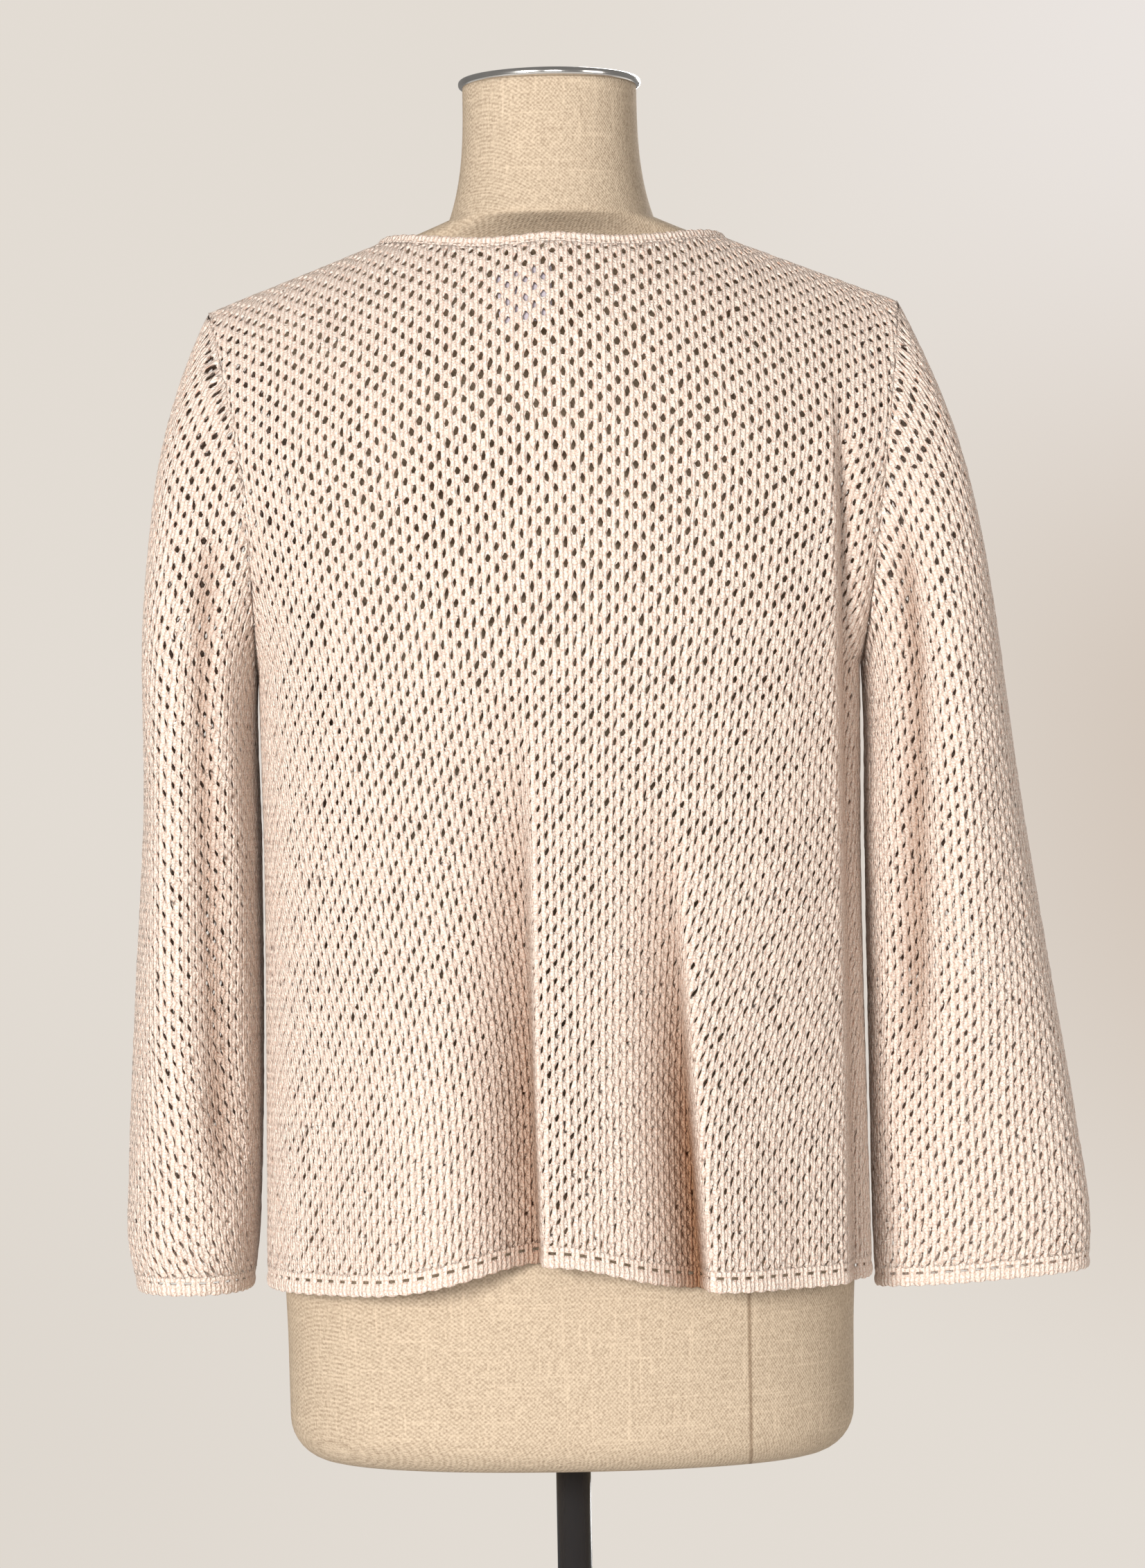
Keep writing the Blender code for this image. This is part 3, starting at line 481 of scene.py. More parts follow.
def pleat_shape(x, z):
    """How far the pleats move the cloth out and sideways, and how deep it lies.

    Each is two halves of a bell, a recess on one side of a line and a lip on
    the other, joined by a short steep step; the lip also shifts over the
    recess.
    """
    out = np.zeros(np.broadcast(x, z).shape)
    aside = np.zeros(out.shape)
    deep = np.zeros(out.shape)
    for pleat in BACK_PLEATS:
        offset = (x - pleat.place - pleat.lean * (z - HEM_Z)) * pleat.way
        start = smooth_step((pleat.top - z) / pleat.fade)
        start = start * smooth_step((z - pleat.bottom) / pleat.fade)
        step = smooth_step(0.5 - offset / (2 * PLEAT_SOFT))
        hollow = np.exp(-(np.maximum(offset, 0) / pleat.width) ** 2)
        lip = pleat.lip * np.exp(-(np.minimum(offset, 0) / pleat.lip_width) ** 2)
        out = out + start * (lip * step - pleat.recess * hollow * (1 - step))
        deep = np.maximum(deep, start * hollow * (1 - step) * pleat.tint)
        reach = np.exp(-(np.minimum(offset, 0) / (3 * pleat.over)) ** 2)
        aside = aside + start * pleat.way * pleat.over * step * reach
    return out, aside, deep


def neck_cut(share, face):
    """The angle of the roll at which the neckline is cut, for a share across."""
    turn_in = np.clip(share / NECK_SHARE, 0, 1) * math.pi / 2
    return math.radians(NECK_CUT[face]) * np.cos(turn_in) ** NECK_CUT_POWER


def body_shape(across, level, face):
    """A point of the body's cloth before its folds, and how far they reach there.

    across runs from -1 at the right side seam or armhole to 1 at the left,
    level from 0 at the hem to 1 at the underarm and 2 at the top edge, and
    face is 1 for the back and -1 for the fronts. Each level is a curve from
    edge to edge, a superellipse low down and a parabola at the shoulder.
    Above the armhole's middle the cloth rolls in to the shoulder line, and
    the neckline is cut out of that roll.
    """
    side = np.where(across >= 0, 1.0, -1.0)
    share = np.abs(across)
    turn_in = np.clip(share / NECK_SHARE, 0, 1) * math.pi / 2
    cut = neck_cut(share, face)
    plain = math.pi * (2 - np.clip(level, 1, 2))
    angle = np.where(plain < math.pi / 2, cut + plain * (1 - cut / (math.pi / 2)), plain)
    up = (1 + np.cos(angle)) / 2

    # where the armhole cuts the section, as shares of its width and depth
    column = "back" if face > 0 else "front"
    widest = ARMHOLE_BACK_Y if face > 0 else ARMHOLE_FRONT_Y
    swing = np.where(level < 1, 0.0, np.sin(np.maximum(plain, math.pi / 2)))
    edge_z = UNDERARM_Z + (SHOULDER_Z - UNDERARM_Z) * (1 + np.cos(plain)) / 2
    cut_y = (widest - UNDERARM_Y) * swing / (along(BODY_ROWS, column, edge_z) - UNDERARM_Y)
    cut_x = (1 - cut_y ** SECTION_POWER) ** (1 / SECTION_POWER)

    # the curve of one level, from the middle to the side seam or armhole
    theta = math.pi / 2 + (np.arctan2(cut_y, cut_x) - math.pi / 2) * share
    reach = superellipse(theta, SECTION_POWER)
    straight = smooth_step(up)
    across_x = (1 - straight) * reach * np.cos(theta) / cut_x + straight * share
    bow = cut_y + (1 - cut_y) * (1 - share ** 2)
    across_y = (1 - straight) * reach * np.sin(theta) + straight * bow

    # heights and half widths at the side seam and the armhole
    hem = hem_height(side * across_x * UNDERARM_X, face)
    low_z = hem + (UNDERARM_Z - hem) * np.clip(level, 0, 1)
    turn = np.where(side > 0, ARMHOLE_TURN[1], ARMHOLE_TURN[-1])
    high_x = UNDERARM_X + (SHOULDER_X - UNDERARM_X) * up ** turn
    edge_x = np.where(level < 1, along(BODY_ROWS, "half_width", low_z), high_x)

    # widths, drawn in to the shoulder line and the neckline at the top
    gape = FRONT_OPEN_HEM + (FRONT_OPEN_TOP - FRONT_OPEN_HEM) * np.clip(level / 2, 0, 1)
    inset = gape + FRONT_TRIM + SEAM_GAP if face < 0 else 0.0
    neck_inset = FRONT_OPEN_TOP + FRONT_TRIM + SEAM_GAP if face < 0 else 0.0
    out = np.clip((share - NECK_SHARE) / (1 - NECK_SHARE), 0, 1)
    top_x = neck_inset + (NECK_X - neck_inset) * np.sin(turn_in) + (SHOULDER_X - NECK_X) * out
    top_x = top_x * edge_x / SHOULDER_X
    wide_x = inset + (edge_x - inset) * across_x
    x = top_x + (wide_x - top_x) * np.sin(np.minimum(plain, math.pi / 2))

    # heights, which climb towards the neck, and depths
    aside = x * SHOULDER_X / edge_x
    aside = np.sqrt(CLIMB_ROUND ** 2 + (1 - (CLIMB_ROUND / SHOULDER_X) ** 2) * aside ** 2)
    climb = SHOULDER_SLOPE * (SHOULDER_X - aside)
    z = np.where(level < 1, low_z, UNDERARM_Z + (SHOULDER_Z - UNDERARM_Z + climb) * up)
    y = UNDERARM_Y + (along(BODY_ROWS, column, z) - UNDERARM_Y) * across_y
    y = RIDGE_Y + (y - RIDGE_Y) * np.where(angle > math.pi / 2, 1.0, np.sin(angle))
    return side * x, y + face * SEAM_GAP / 2, z, 1 - share ** QUIET_POWER


def body_surface(across, level, face):
    """A point of the body's cloth with its folds, at the middle of its wall."""
    x, y, z, quiet = body_shape(across, level, face)
    folds = BACK_FOLDS if face > 0 else FRONT_FOLDS
    y = y + face * quiet * fold_depth(folds, x, z)
    if face < 0:
        return stack(x, y, z)
    out, aside, deep = pleat_shape(x, z)
    return stack(x + quiet * aside, y + quiet * out, z)


def body_crease(across, level, face):
    """How deep a point lies in a crease, from 0 to 1; it narrows the back's holes and sets the painted
    shade in creases.
    """
    x, y, z, quiet = body_shape(across, level, face)
    folds = BACK_FOLDS if face > 0 else FRONT_FOLDS
    deep = np.clip((-fold_depth(folds, x, z) - CREASE_START) / CREASE_FULL, 0, 1)
    if face > 0:
        deep = np.maximum(deep, pleat_shape(x, z)[2])
    return deep * quiet


def body_normal(across, level, face):
    """The outward direction of the body's cloth, from small steps."""
    left_front = (face < 0) & (across > 0)
    right_front = (face < 0) & (across < 0)
    across_low = np.maximum(across - EDGE_STEP, np.where(left_front, CENTRE, -1.0))
    across_high = np.minimum(across + EDGE_STEP, np.where(right_front, -CENTRE, 1.0))
    level_low = np.maximum(level - LEVEL_STEP, 0)
    level_high = np.minimum(level + LEVEL_STEP, 2)
    over = body_surface(across_high, level, face) - body_surface(across_low, level, face)
    rise = body_surface(across, level_high, face) - body_surface(across, level_low, face)
    return unit(np.cross(rise, over) * face)


def neck_rim(across, face):
    """The way from the neckline in towards the neck, and the wall's way there."""
    limit = NECK_SHARE - EDGE_STEP
    top = np.full(np.shape(across), 2.0)
    low = body_surface(np.clip(across - EDGE_STEP, -limit, limit), top, face)
    high = body_surface(np.clip(across + EDGE_STEP, -limit, limit), top, face)
    turn = np.clip(across / NECK_SHARE, -1, 1) * math.pi / 2
    climb = NECK_CLIMB_SIDE + NECK_CLIMB_MIDDLE * np.cos(turn)
    inward = stack(-np.sin(turn), -face * np.cos(turn), climb)
    run = unit(high - low)
    ways = unit(np.cross(run, inward))
    ways = ways * np.sign(ways[..., 2:])
    askew = np.sum(inward * run, axis=-1, keepdims=True) * np.cos(turn)[..., None]
    return unit(inward - run * askew), ways


def sleeve_section(angle, height, side):
    """A point of the sleeve's level section, a superellipse through its row."""
    rows = SLEEVE_ROWS[side]
    outer = along(rows, "outer", height)
    inner = along(rows, "inner", height)
    back = along(rows, "back", height)
    front = along(rows, "front", height)
    reach = superellipse(angle, SLEEVE_POWER)
    x = (outer + inner) / 2 + (outer - inner) / 2 * reach * np.cos(angle)
    y = (back + front) / 2 + (back - front) / 2 * reach * np.sin(angle)
    return stack(side * x, y, height)


def hanging(angle):
    """0 over the shoulder, rising to 1 at the underarm."""
    return smooth_step(-np.cos(angle))[..., None]


def sleeve_leave(angle, side):
    """The direction in which the sleeve leaves the armhole."""
    rise = np.cos(angle)
    swing = np.sin(angle)
    x = LEAVE_OUT + LEAVE_OUT_TOP * (1 + rise) + LEAVE_OUT_SIDES * swing ** 2
    z = -(LEAVE_DOWN + LEAVE_DOWN_ENDS * rise ** 2)
    return unit(stack(side * x, LEAVE_BACK * swing, z))


def cuff_height(angle, side):
    """The sleeve panel's lower edge."""
    return CUFF_Z[side] + CUFF_SLOPE[side] * np.cos(angle) + CUFF_TRIM + SEAM_GAP


def sleeve_folds(angle, height, side, level):
    """Depth of the sleeve's folds, outwards, none at the armhole seam."""
    total = np.zeros(np.shape(angle))
    for fold in SLEEVE_FOLDS[side]:
        down = np.clip((fold.top - height) / (fold.top - fold.bottom), 0, 1)
        place = np.radians(fold.angle_top + (fold.angle_low - fold.angle_top) * down)
        offset = np.angle(np.exp(1j * (angle - place)))
        start = smooth_step((fold.top - height) / fold.fade)
        end = smooth_step((height - fold.bottom) / fold.fade + 0.5)
        total = total + fold.depth * start * end * np.exp(-(offset / math.radians(fold.width)) ** 2)
    return total * smooth_step(level / SLEEVE_FOLD_START)


def sleeve_surface(angle, level, side):
    """A point of the sleeve's cloth, at the middle of its wall.

    angle goes round the sleeve from its outer side over the back, and level
    from 0 at the armhole to 1 below the underarm and 2 at the cuff. The
    first part is a Bezier curve for each angle, and the rest joins sections.
    """
    start = armhole(angle, side) + np.array([side * UNDERARM_APART, 0.0, 0.0]) * hanging(angle)
    end = sleeve_section(angle, np.full(np.shape(angle), SLEEVE_TOP_Z), side)
    below = sleeve_section(angle, np.full(np.shape(angle), SLEEVE_TOP_Z - SLEEVE_TOP_STEP), side)
    length = np.linalg.norm(end - start, axis=-1, keepdims=True)
    handle = (HANDLE_ENDS + (HANDLE_SIDES - HANDLE_ENDS) * np.sin(angle) ** 2)[..., None]
    first = start + sleeve_leave(angle, side) * length * handle
    second = end + unit(end - below) * length * HANDLE_BELOW
    part = np.clip(level, 0, 1)[..., None]
    curve = start * (1 - part) ** 3 + 3 * first * part * (1 - part) ** 2
    curve = curve + 3 * second * part ** 2 * (1 - part) + end * part ** 3
    drop = np.clip(level - 1, 0, 1)
    height = SLEEVE_TOP_Z + (cuff_height(angle, side) - SLEEVE_TOP_Z) * drop
    lower = sleeve_section(angle, height, side)
    points = np.where((level > 1)[..., None], lower, curve)
    outward = stack(side * np.cos(angle), np.sin(angle), 0.0)
    return points + outward * sleeve_folds(angle, points[..., 2], side, level)[..., None]


def sleeve_normal(angle, level, side):
    """The outward direction of the sleeve's cloth, from small steps."""
    level_low = np.maximum(level - TURN_STEP, 0)
    level_high = np.minimum(level + TURN_STEP, 2)
    over = sleeve_surface(angle + TURN_STEP, level, side)
    over = over - sleeve_surface(angle - TURN_STEP, level, side)
    down = sleeve_surface(angle, level_high, side) - sleeve_surface(angle, level_low, side)
    return unit(np.cross(down, over) * side)


def set_mesh(name, points, faces, uv=None, crease=None):
    """A mesh object of triangles or quads, with a UV and a crease value for each point."""
    mesh = bpy.data.meshes.new(name)
    sides = faces.shape[1]
    mesh.vertices.add(len(points))
    mesh.vertices.foreach_set("co", np.asarray(points, np.float32).ravel())
    mesh.loops.add(faces.size)
    mesh.loops.foreach_set("vertex_index", faces.astype(np.int32).ravel())
    mesh.polygons.add(len(faces))
    mesh.polygons.foreach_set("loop_start", np.arange(0, faces.size, sides, dtype=np.int32))
    mesh.polygons.foreach_set("use_smooth", np.full(len(faces), True))
    if uv is not None:
        layer = mesh.uv_layers.new(name="cloth")
        layer.data.foreach_set("uv", np.asarray(uv, np.float32)[faces.ravel()].ravel())
    if crease is not None:
        values = mesh.attributes.new("crease", "FLOAT", "POINT")
        values.data.foreach_set("value", np.asarray(crease, np.float32))
    mesh.update()
    mesh.validate()
    piece = bpy.data.objects.new(name, mesh)
    bpy.context.scene.collection.objects.link(piece)
    return piece


def triangles(quads):
    """Quads split into triangles, without those that have shrunk to a line."""
    split = np.concatenate([quads[:, [0, 1, 2]], quads[:, [0, 2, 3]]])
    sorted_ids = np.sort(split, axis=1)
    keep = (sorted_ids[:, 0] != sorted_ids[:, 1]) & (sorted_ids[:, 1] != sorted_ids[:, 2])
    return split[keep]


def grid_quads(rows, columns, closed):
    """Quads between the points of a grid, by row and column, joined round if closed."""
    number = np.arange(rows * columns).reshape(rows, columns)
    if closed:
        number = np.concatenate([number, number[:, :1]], axis=1)
    return np.stack([number[:-1, :-1], number[:-1, 1:], number[1:, 1:], number[1:, :-1]], axis=-1)


def open_edges(cells):
    """The sides of cells that only one cell has, in that cell's direction."""
    starts = cells.ravel()
    ends = np.roll(cells, -1, axis=1).ravel()
    real = starts != ends
    starts, ends = starts[real], ends[real]
    size = int(max(starts.max(), ends.max())) + 1
    there = starts * size + ends
    back = ends * size + starts
    lone = ~np.isin(there, back)
    return starts[lone], ends[lone]


def body_rows(face):
    """Rows across a body panel, half a hole apart: places across and levels.

    Up to the underarm the rows divide the height evenly. Above it they divide
    the armhole's length, and each row stops where the neckline cuts it.
    """
    low_count = int(round((UNDERARM_Z - HEM_Z - HEM_TRIM) / (ROW_STEP / 2)))
    fine = np.linspace(math.pi, 0.0, RISE_SAMPLES)
    share = np.full(RISE_SAMPLES, NECK_SHARE)
    move = np.diff(body_surface(share, 2 - fine / math.pi, face), axis=0)
    rolled = (fine[1:] < math.pi / 2) * np.abs(move[:, 1])
    run = np.concatenate([[0], np.cumsum(np.hypot(rolled, move[:, 2]))])
    high_count = int(round(run[-1] / (ROW_STEP / 2)))
    turns = np.interp(np.linspace(0, run[-1], high_count + 1), run, fine)
    levels = np.concatenate([np.arange(low_count) / low_count, 2 - turns / math.pi])
    return levels, np.concatenate([np.full(low_count, math.pi), turns])


def body_level(across, level, turn, face):
    """The level at a place across for a row's roll angle, stopped at the neckline."""
    cut = neck_cut(np.abs(across), face)
    plain = (np.maximum(turn, cut) - cut) / (1 - cut / (math.pi / 2))
    return np.where(turn < math.pi / 2, 2 - plain / math.pi, level)


def add_net(name, rows, low, high, locate, inside, openness, fan, flip, seed):
    """A closed wall of yarn round a staggered net of holes.

    rows is the number of half rows. low and high give each half row's ends as
    lengths across, and fan the distance between its columns. locate turns
    lengths, row numbers and whether each lies on the top edge into points,
    directions and creases. inside says which cells the panel keeps, and
    openness gives the sizes of their holes. Each cell is a hexagon of crests
    that it shares with its neighbours, a ring round the hole on the outer side
    and a ring in the middle of the wall. Inside, both ends of a bar are one
    point, and the ring in the wall has one point on top, which keeps the
    triangles few.
    """
    count = int(np.ceil(np.max(np.maximum(high, -low) / fan))) + 2
    width = 2 * count + 3
    row_number = np.arange(-1, rows + 2)
    column_number = np.arange(-count - 1, count + 2)

    # cells whose middle lies on the panel
    columns = np.arange(-count, count + 1)
    cell_row, cell_column = np.meshgrid(np.arange(rows + 1), columns, indexing="ij")
    even = (cell_row + cell_column) % 2 == 0
    cell_row, cell_column = cell_row[even], cell_column[even]
    middle = cell_column * fan[cell_row]
    slack = PANEL_SLACK * COLUMN_STEP
    on = (middle > low[cell_row] - slack) & (middle < high[cell_row] + slack)
    on &= inside(middle, cell_row)
    cell_row, cell_column = cell_row[on], cell_column[on]

    def number(column, sign, row):
        return ((row + 1) * width + column + count + 1) * 2 + (sign > 0)

    cells = np.stack([
        number(cell_column, 1, cell_row + 1), number(cell_column, -1, cell_row + 1),
        number(cell_column - 1, 1, cell_row), number(cell_column, -1, cell_row - 1),
        number(cell_column, 1, cell_row - 1), number(cell_column + 1, -1, cell_row)], axis=1)

    # corners: their length across and their row, drawn to the panel's edges
    sign = np.array([-1.0, 1.0])
    row = np.clip(row_number, 0, rows)
    across = (column_number[None, :, None] + sign * BAR_SHARE) * fan[row][:, None, None]
    corner_row = np.broadcast_to(row[:, None, None], across.shape).ravel().copy()
    across = across.ravel()
    rim = np.zeros(len(across), bool)
    rim[np.unique(np.concatenate(open_edges(cells)))] = True
    near_high = rim & (np.abs(across - high[corner_row]) < RIM_REACH * COLUMN_STEP)
    near_low = rim & (np.abs(across - low[corner_row]) < RIM_REACH * COLUMN_STEP)
    across = np.where(near_high, high[corner_row], np.where(near_low, low[corner_row], across))
    across = np.clip(across, low[corner_row], high[corner_row])
    side = near_high | near_low

    # corners in use, with those at one place made one
    used, cells = np.unique(cells.ravel(), return_inverse=True)
    cells = cells.reshape(-1, 6)
    across, corner_row = across[used], corner_row[used]
    top = rim[used] & ~side[used] & (corner_row > rows // 2)
    key = corner_row * 10 ** 6 + np.round(across * 10 ** 5).astype(int)
    _, first, merged = np.unique(key, return_index=True, return_inverse=True)
    cells = merged[cells]
    across, corner_row, top = across[first], corner_row[first], top[first]
    _, bar = np.unique(used[first] // 2, return_inverse=True)
    crest, ways, crease = locate(across, corner_row, top)
    pattern = np.stack([across / fan[corner_row] * COLUMN_STEP, corner_row * ROW_STEP / 2], axis=-1)
    draw = np.random.default_rng(seed)
    lift = 1 + CREST_ROUGH * chance(draw, len(crest), 1)
    wander = CREST_WANDER * chance(draw, *crest.shape)
    wander = wander - ways * np.sum(wander * ways, axis=-1, keepdims=True)

    # the hole in each cell, from the cell's own middle and half sizes
    corners = crest[cells]
    centre = corners.mean(axis=1)
    across_way = (corners[:, 5] - corners[:, 2]) / 2
    up_way = (corners[:, 0] + corners[:, 1] - corners[:, 3] - corners[:, 4]) / 4
    way = unit(ways[cells].mean(axis=1))
    cell_crease = crease[cells].mean(axis=1)
    open_x, open_z, slant = openness(centre, cell_crease, draw)
    outline_x = np.array([HOLE_TOP_X, -HOLE_TOP_X, -1.0, -HOLE_TOP_X, HOLE_TOP_X, 1.0])
    outline_z = np.array([1.0, 1.0, 0.0, -1.0, -1.0, 0.0])
    ragged = 1 + HOLE_ROUGH * chance(draw, 2, len(cells), 6)

    def ring(wide, out):
        x = outline_x[None, :] * ragged[0] * (open_x * wide)[:, None]
        z = outline_z[None, :] * ragged[1] * (open_z * (1 + (wide - 1) * RING_TALLER))[:, None]
        x = x + slant[:, None] * z
        offset = across_way[:, None] * x[..., None] + up_way[:, None] * z[..., None]
        return centre[:, None] + offset + (way * out)[:, None]

    def joined_top(values):
        upper = values[:, :2].mean(axis=1, keepdims=True)
        return np.concatenate([upper, values[:, 2:]], axis=1).reshape(-1, values.shape[-1])

    def bar_mean(values):
        sums = np.zeros((bar.max() + 1, values.shape[1]))
        np.add.at(sums, bar, values)
        return sums / np.bincount(bar)[:, None]

    cell_size = np.array([COLUMN_STEP, ROW_STEP / 2])
    pattern_ring = np.stack([outline_x, outline_z], axis=-1) * RING_SHARE * cell_size
    pattern_ring = pattern[cells].mean(axis=1)[:, None] + pattern_ring
    inside_crest = bar_mean(crest + wander - ways * CREST_IN)
    points = np.concatenate([
        crest + wander + ways * CREST_OUT * lift, inside_crest,
        ring(SHOULDER_WIDE, SHOULDER_OUT).reshape(-1, 3), joined_top(ring(EDGE_WIDE, 0.0))])
    uv = np.concatenate([
        pattern, bar_mean(pattern), pattern_ring.reshape(-1, 2), joined_top(pattern_ring)])
    # crease depth at each point, stored for the painted shade in creases
    ring_crease = np.concatenate([np.repeat(cell_crease, 6), np.repeat(cell_crease, 5)])
    point_crease = np.concatenate([crease, bar_mean(crease[:, None])[:, 0], ring_crease])

    # three strips of quads in each cell, and the wall's rim
    inner_of = len(crest) + bar
    order = np.arange(len(cells))[:, None]
    shoulder = len(crest) + len(inside_crest) + order * 6 + np.arange(6)
    edge = shoulder[-1, -1] + 1 + order * 5 + np.array([0, 0, 1, 2, 3, 4])
    quads = []
    for outer, inner in ((cells, shoulder), (shoulder, edge), (edge, inner_of[cells])):
        outer_next = np.roll(outer, -1, axis=1)
        inner_next = np.roll(inner, -1, axis=1)
        quads.append(np.stack([outer, outer_next, inner_next, inner], axis=-1).reshape(-1, 4))
    starts, ends = open_edges(cells)
    quads.append(np.stack([ends, starts, inner_of[starts], inner_of[ends]], axis=-1))
    faces = triangles(np.concatenate(quads))
    if flip:
        faces = faces[:, ::-1]
    return set_mesh(name, points, faces, uv, point_crease)


def add_body_panel(name, face, side):
    """A body panel of net: side is 0 for the back, 1 or -1 for a front."""
    levels, turns = body_rows(face)
    rows = len(levels) - 1
    start, end = {0: (-1.0, 1.0), 1: (CENTRE, 1.0), -1: (-1.0, -CENTRE)}[side]
    fine = np.linspace(start, end, ROW_SAMPLES)
    grid_across, grid_level = np.meshgrid(fine, levels)
    grid_turn = np.broadcast_to(turns[:, None], grid_across.shape)
    level = body_level(grid_across, grid_level, np.maximum(grid_turn, 0.0), face)
    points = body_surface(grid_across, level, face)
    origin = {0: ROW_SAMPLES // 2, 1: 0, -1: ROW_SAMPLES - 1}[side]
    length = lengths_along(points)
    length = length - length[:, origin:origin + 1]
    heights = points[:, origin, 2]
    low, high = length[:, 0], length[:, -1]
    fan = COLUMN_STEP * np.interp(heights, *np.array(FAN).T)

    def place(across, row):
        found = np.zeros(len(across))
        for number in np.unique(row):
            here = row == number
            found[here] = np.interp(across[here], length[number], fine)
        return found

    def inside(middle, row):
        return turns[row] > neck_cut(np.abs(place(middle, row)), face) - NECK_SLACK

    def locate(across, row, top):
        found = place(across, row)
        turn = np.where(top & (np.abs(found) < NECK_SHARE), 0.0, turns[row])
        at = (found, body_level(found, levels[row], turn, face), face)
        return body_surface(*at), body_normal(*at), body_crease(*at)

    openness = back_holes if face > 0 else front_holes
    return add_net(name, rows, low, high, locate, inside, openness, fan, face < 0, 5 + side)


def hole_sizes(size, centre, draw):
    """Half width, half height and slant of each hole, as shares of its cell.

    Holes are round at the shoulders and narrow to slits down the garment.
    """
    high = smooth_step((centre[:, 2] - size.start) / size.rise)
    rough = chance(draw, 3, len(centre))
    open_x = (size.wide + size.wider * high) * (1 + (size.rough_x - size.calm_x * high) * rough[0])
    open_z = size.tall * (1 + (size.rough_z - size.calm_z * high) * rough[1])
    return open_x, open_z, size.slant * (1 - high) + SLANT_ROUGH * rough[2]


def back_holes(centre, crease, draw):
    """The back's holes, smaller in a few places and nearly shut in deep folds."""
    open_x, open_z, slant = hole_sizes(HOLES["back"], centre, draw)
    for patch in BACK_PATCHES:
        off_x = (centre[:, 0] - patch.x) / patch.reach_x
        off_z = (centre[:, 2] - patch.z) / patch.reach_z
        open_x = open_x * (1 - (1 - patch.share) * np.exp(-off_x ** 2 - off_z ** 2))
    shut = 1 - CREASE_SHUT * crease ** CREASE_SHUT_POWER
    return open_x * shut, open_z * (1 - SHUT_HEIGHT + SHUT_HEIGHT * shut), slant


def front_holes(centre, crease, draw):
    """The fronts' holes, smaller than the back's."""
    return hole_sizes(HOLES["front"], centre, draw)


def sleeve_holes(centre, crease, draw):
    """The sleeves' holes."""
    return hole_sizes(HOLES["sleeve"], centre, draw)


def add_sleeve_panel(name, side):
    """A sleeve of net: rows are level, and its columns start at the outer side."""
    turn = np.linspace(-math.pi, math.pi, TURN_SAMPLES)
    drop = np.linspace(0, 2, DROP_SAMPLES)
    grid_turn, grid_level = np.meshgrid(turn, drop)
    heights = sleeve_surface(grid_turn, grid_level, side)[..., 2]
    bottom_z = CUFF_Z[side] + CUFF_TRIM
    rows = int(round((SHOULDER_Z - bottom_z) / (ROW_STEP / 2) * SLEEVE_ROWS_MORE))
    part = np.arange(rows + 1) / rows
    low_z = cuff_height(turn, side)
    wanted = low_z[None, :] + (SHOULDER_Z - low_z[None, :]) * part[:, None]
    columns = range(TURN_SAMPLES)
    table = np.stack([np.interp(-wanted[:, k], -heights[:, k], drop) for k in columns], axis=1)
    middle_z = bottom_z + (SHOULDER_Z - bottom_z) * part
    up = np.clip((middle_z - UNDERARM_Z) / (SHOULDER_Z - UNDERARM_Z), 0, 1)
    limit = np.where(middle_z > UNDERARM_Z, np.arccos(np.clip(2 * up - 1, -1, 1)), math.pi)
    fine = np.linspace(-1, 1, ROW_SAMPLES)
    row_turn = limit[:, None] * fine[None, :]
    row_level = np.stack([np.interp(row_turn[k], turn, table[k]) for k in range(rows + 1)])
    points = sleeve_surface(row_turn, row_level, side)
    length = lengths_along(points)
    length = length - length[:, ROW_SAMPLES // 2:ROW_SAMPLES // 2 + 1]
    low, high = length[:, 0], length[:, -1]

    def locate(across, row, top):
        found = np.zeros(len(across))
        level = np.zeros(len(across))
        for number in np.unique(row):
            here = row == number
            found[here] = np.interp(across[here], length[number], row_turn[number])
            level[here] = np.interp(found[here], turn, table[number])
            if limit[number] < math.pi:
                level[here & (np.abs(np.abs(found) - limit[number]) < AT_SEAM)] = 0.0
        points = sleeve_surface(found, level, side)
        depth = -sleeve_folds(found, points[:, 2], side, level)
        deep = np.clip((depth - CREASE_START) / CREASE_FULL, 0, 1)
        return points, sleeve_normal(found, level, side), deep

    def inside(middle, row):
        return np.ones(len(middle), bool)

    fan = np.full(rows + 1, SLEEVE_FAN * COLUMN_STEP)
    return add_net(name, rows, low, high, locate, inside, sleeve_holes, fan, side > 0, 11 + side)


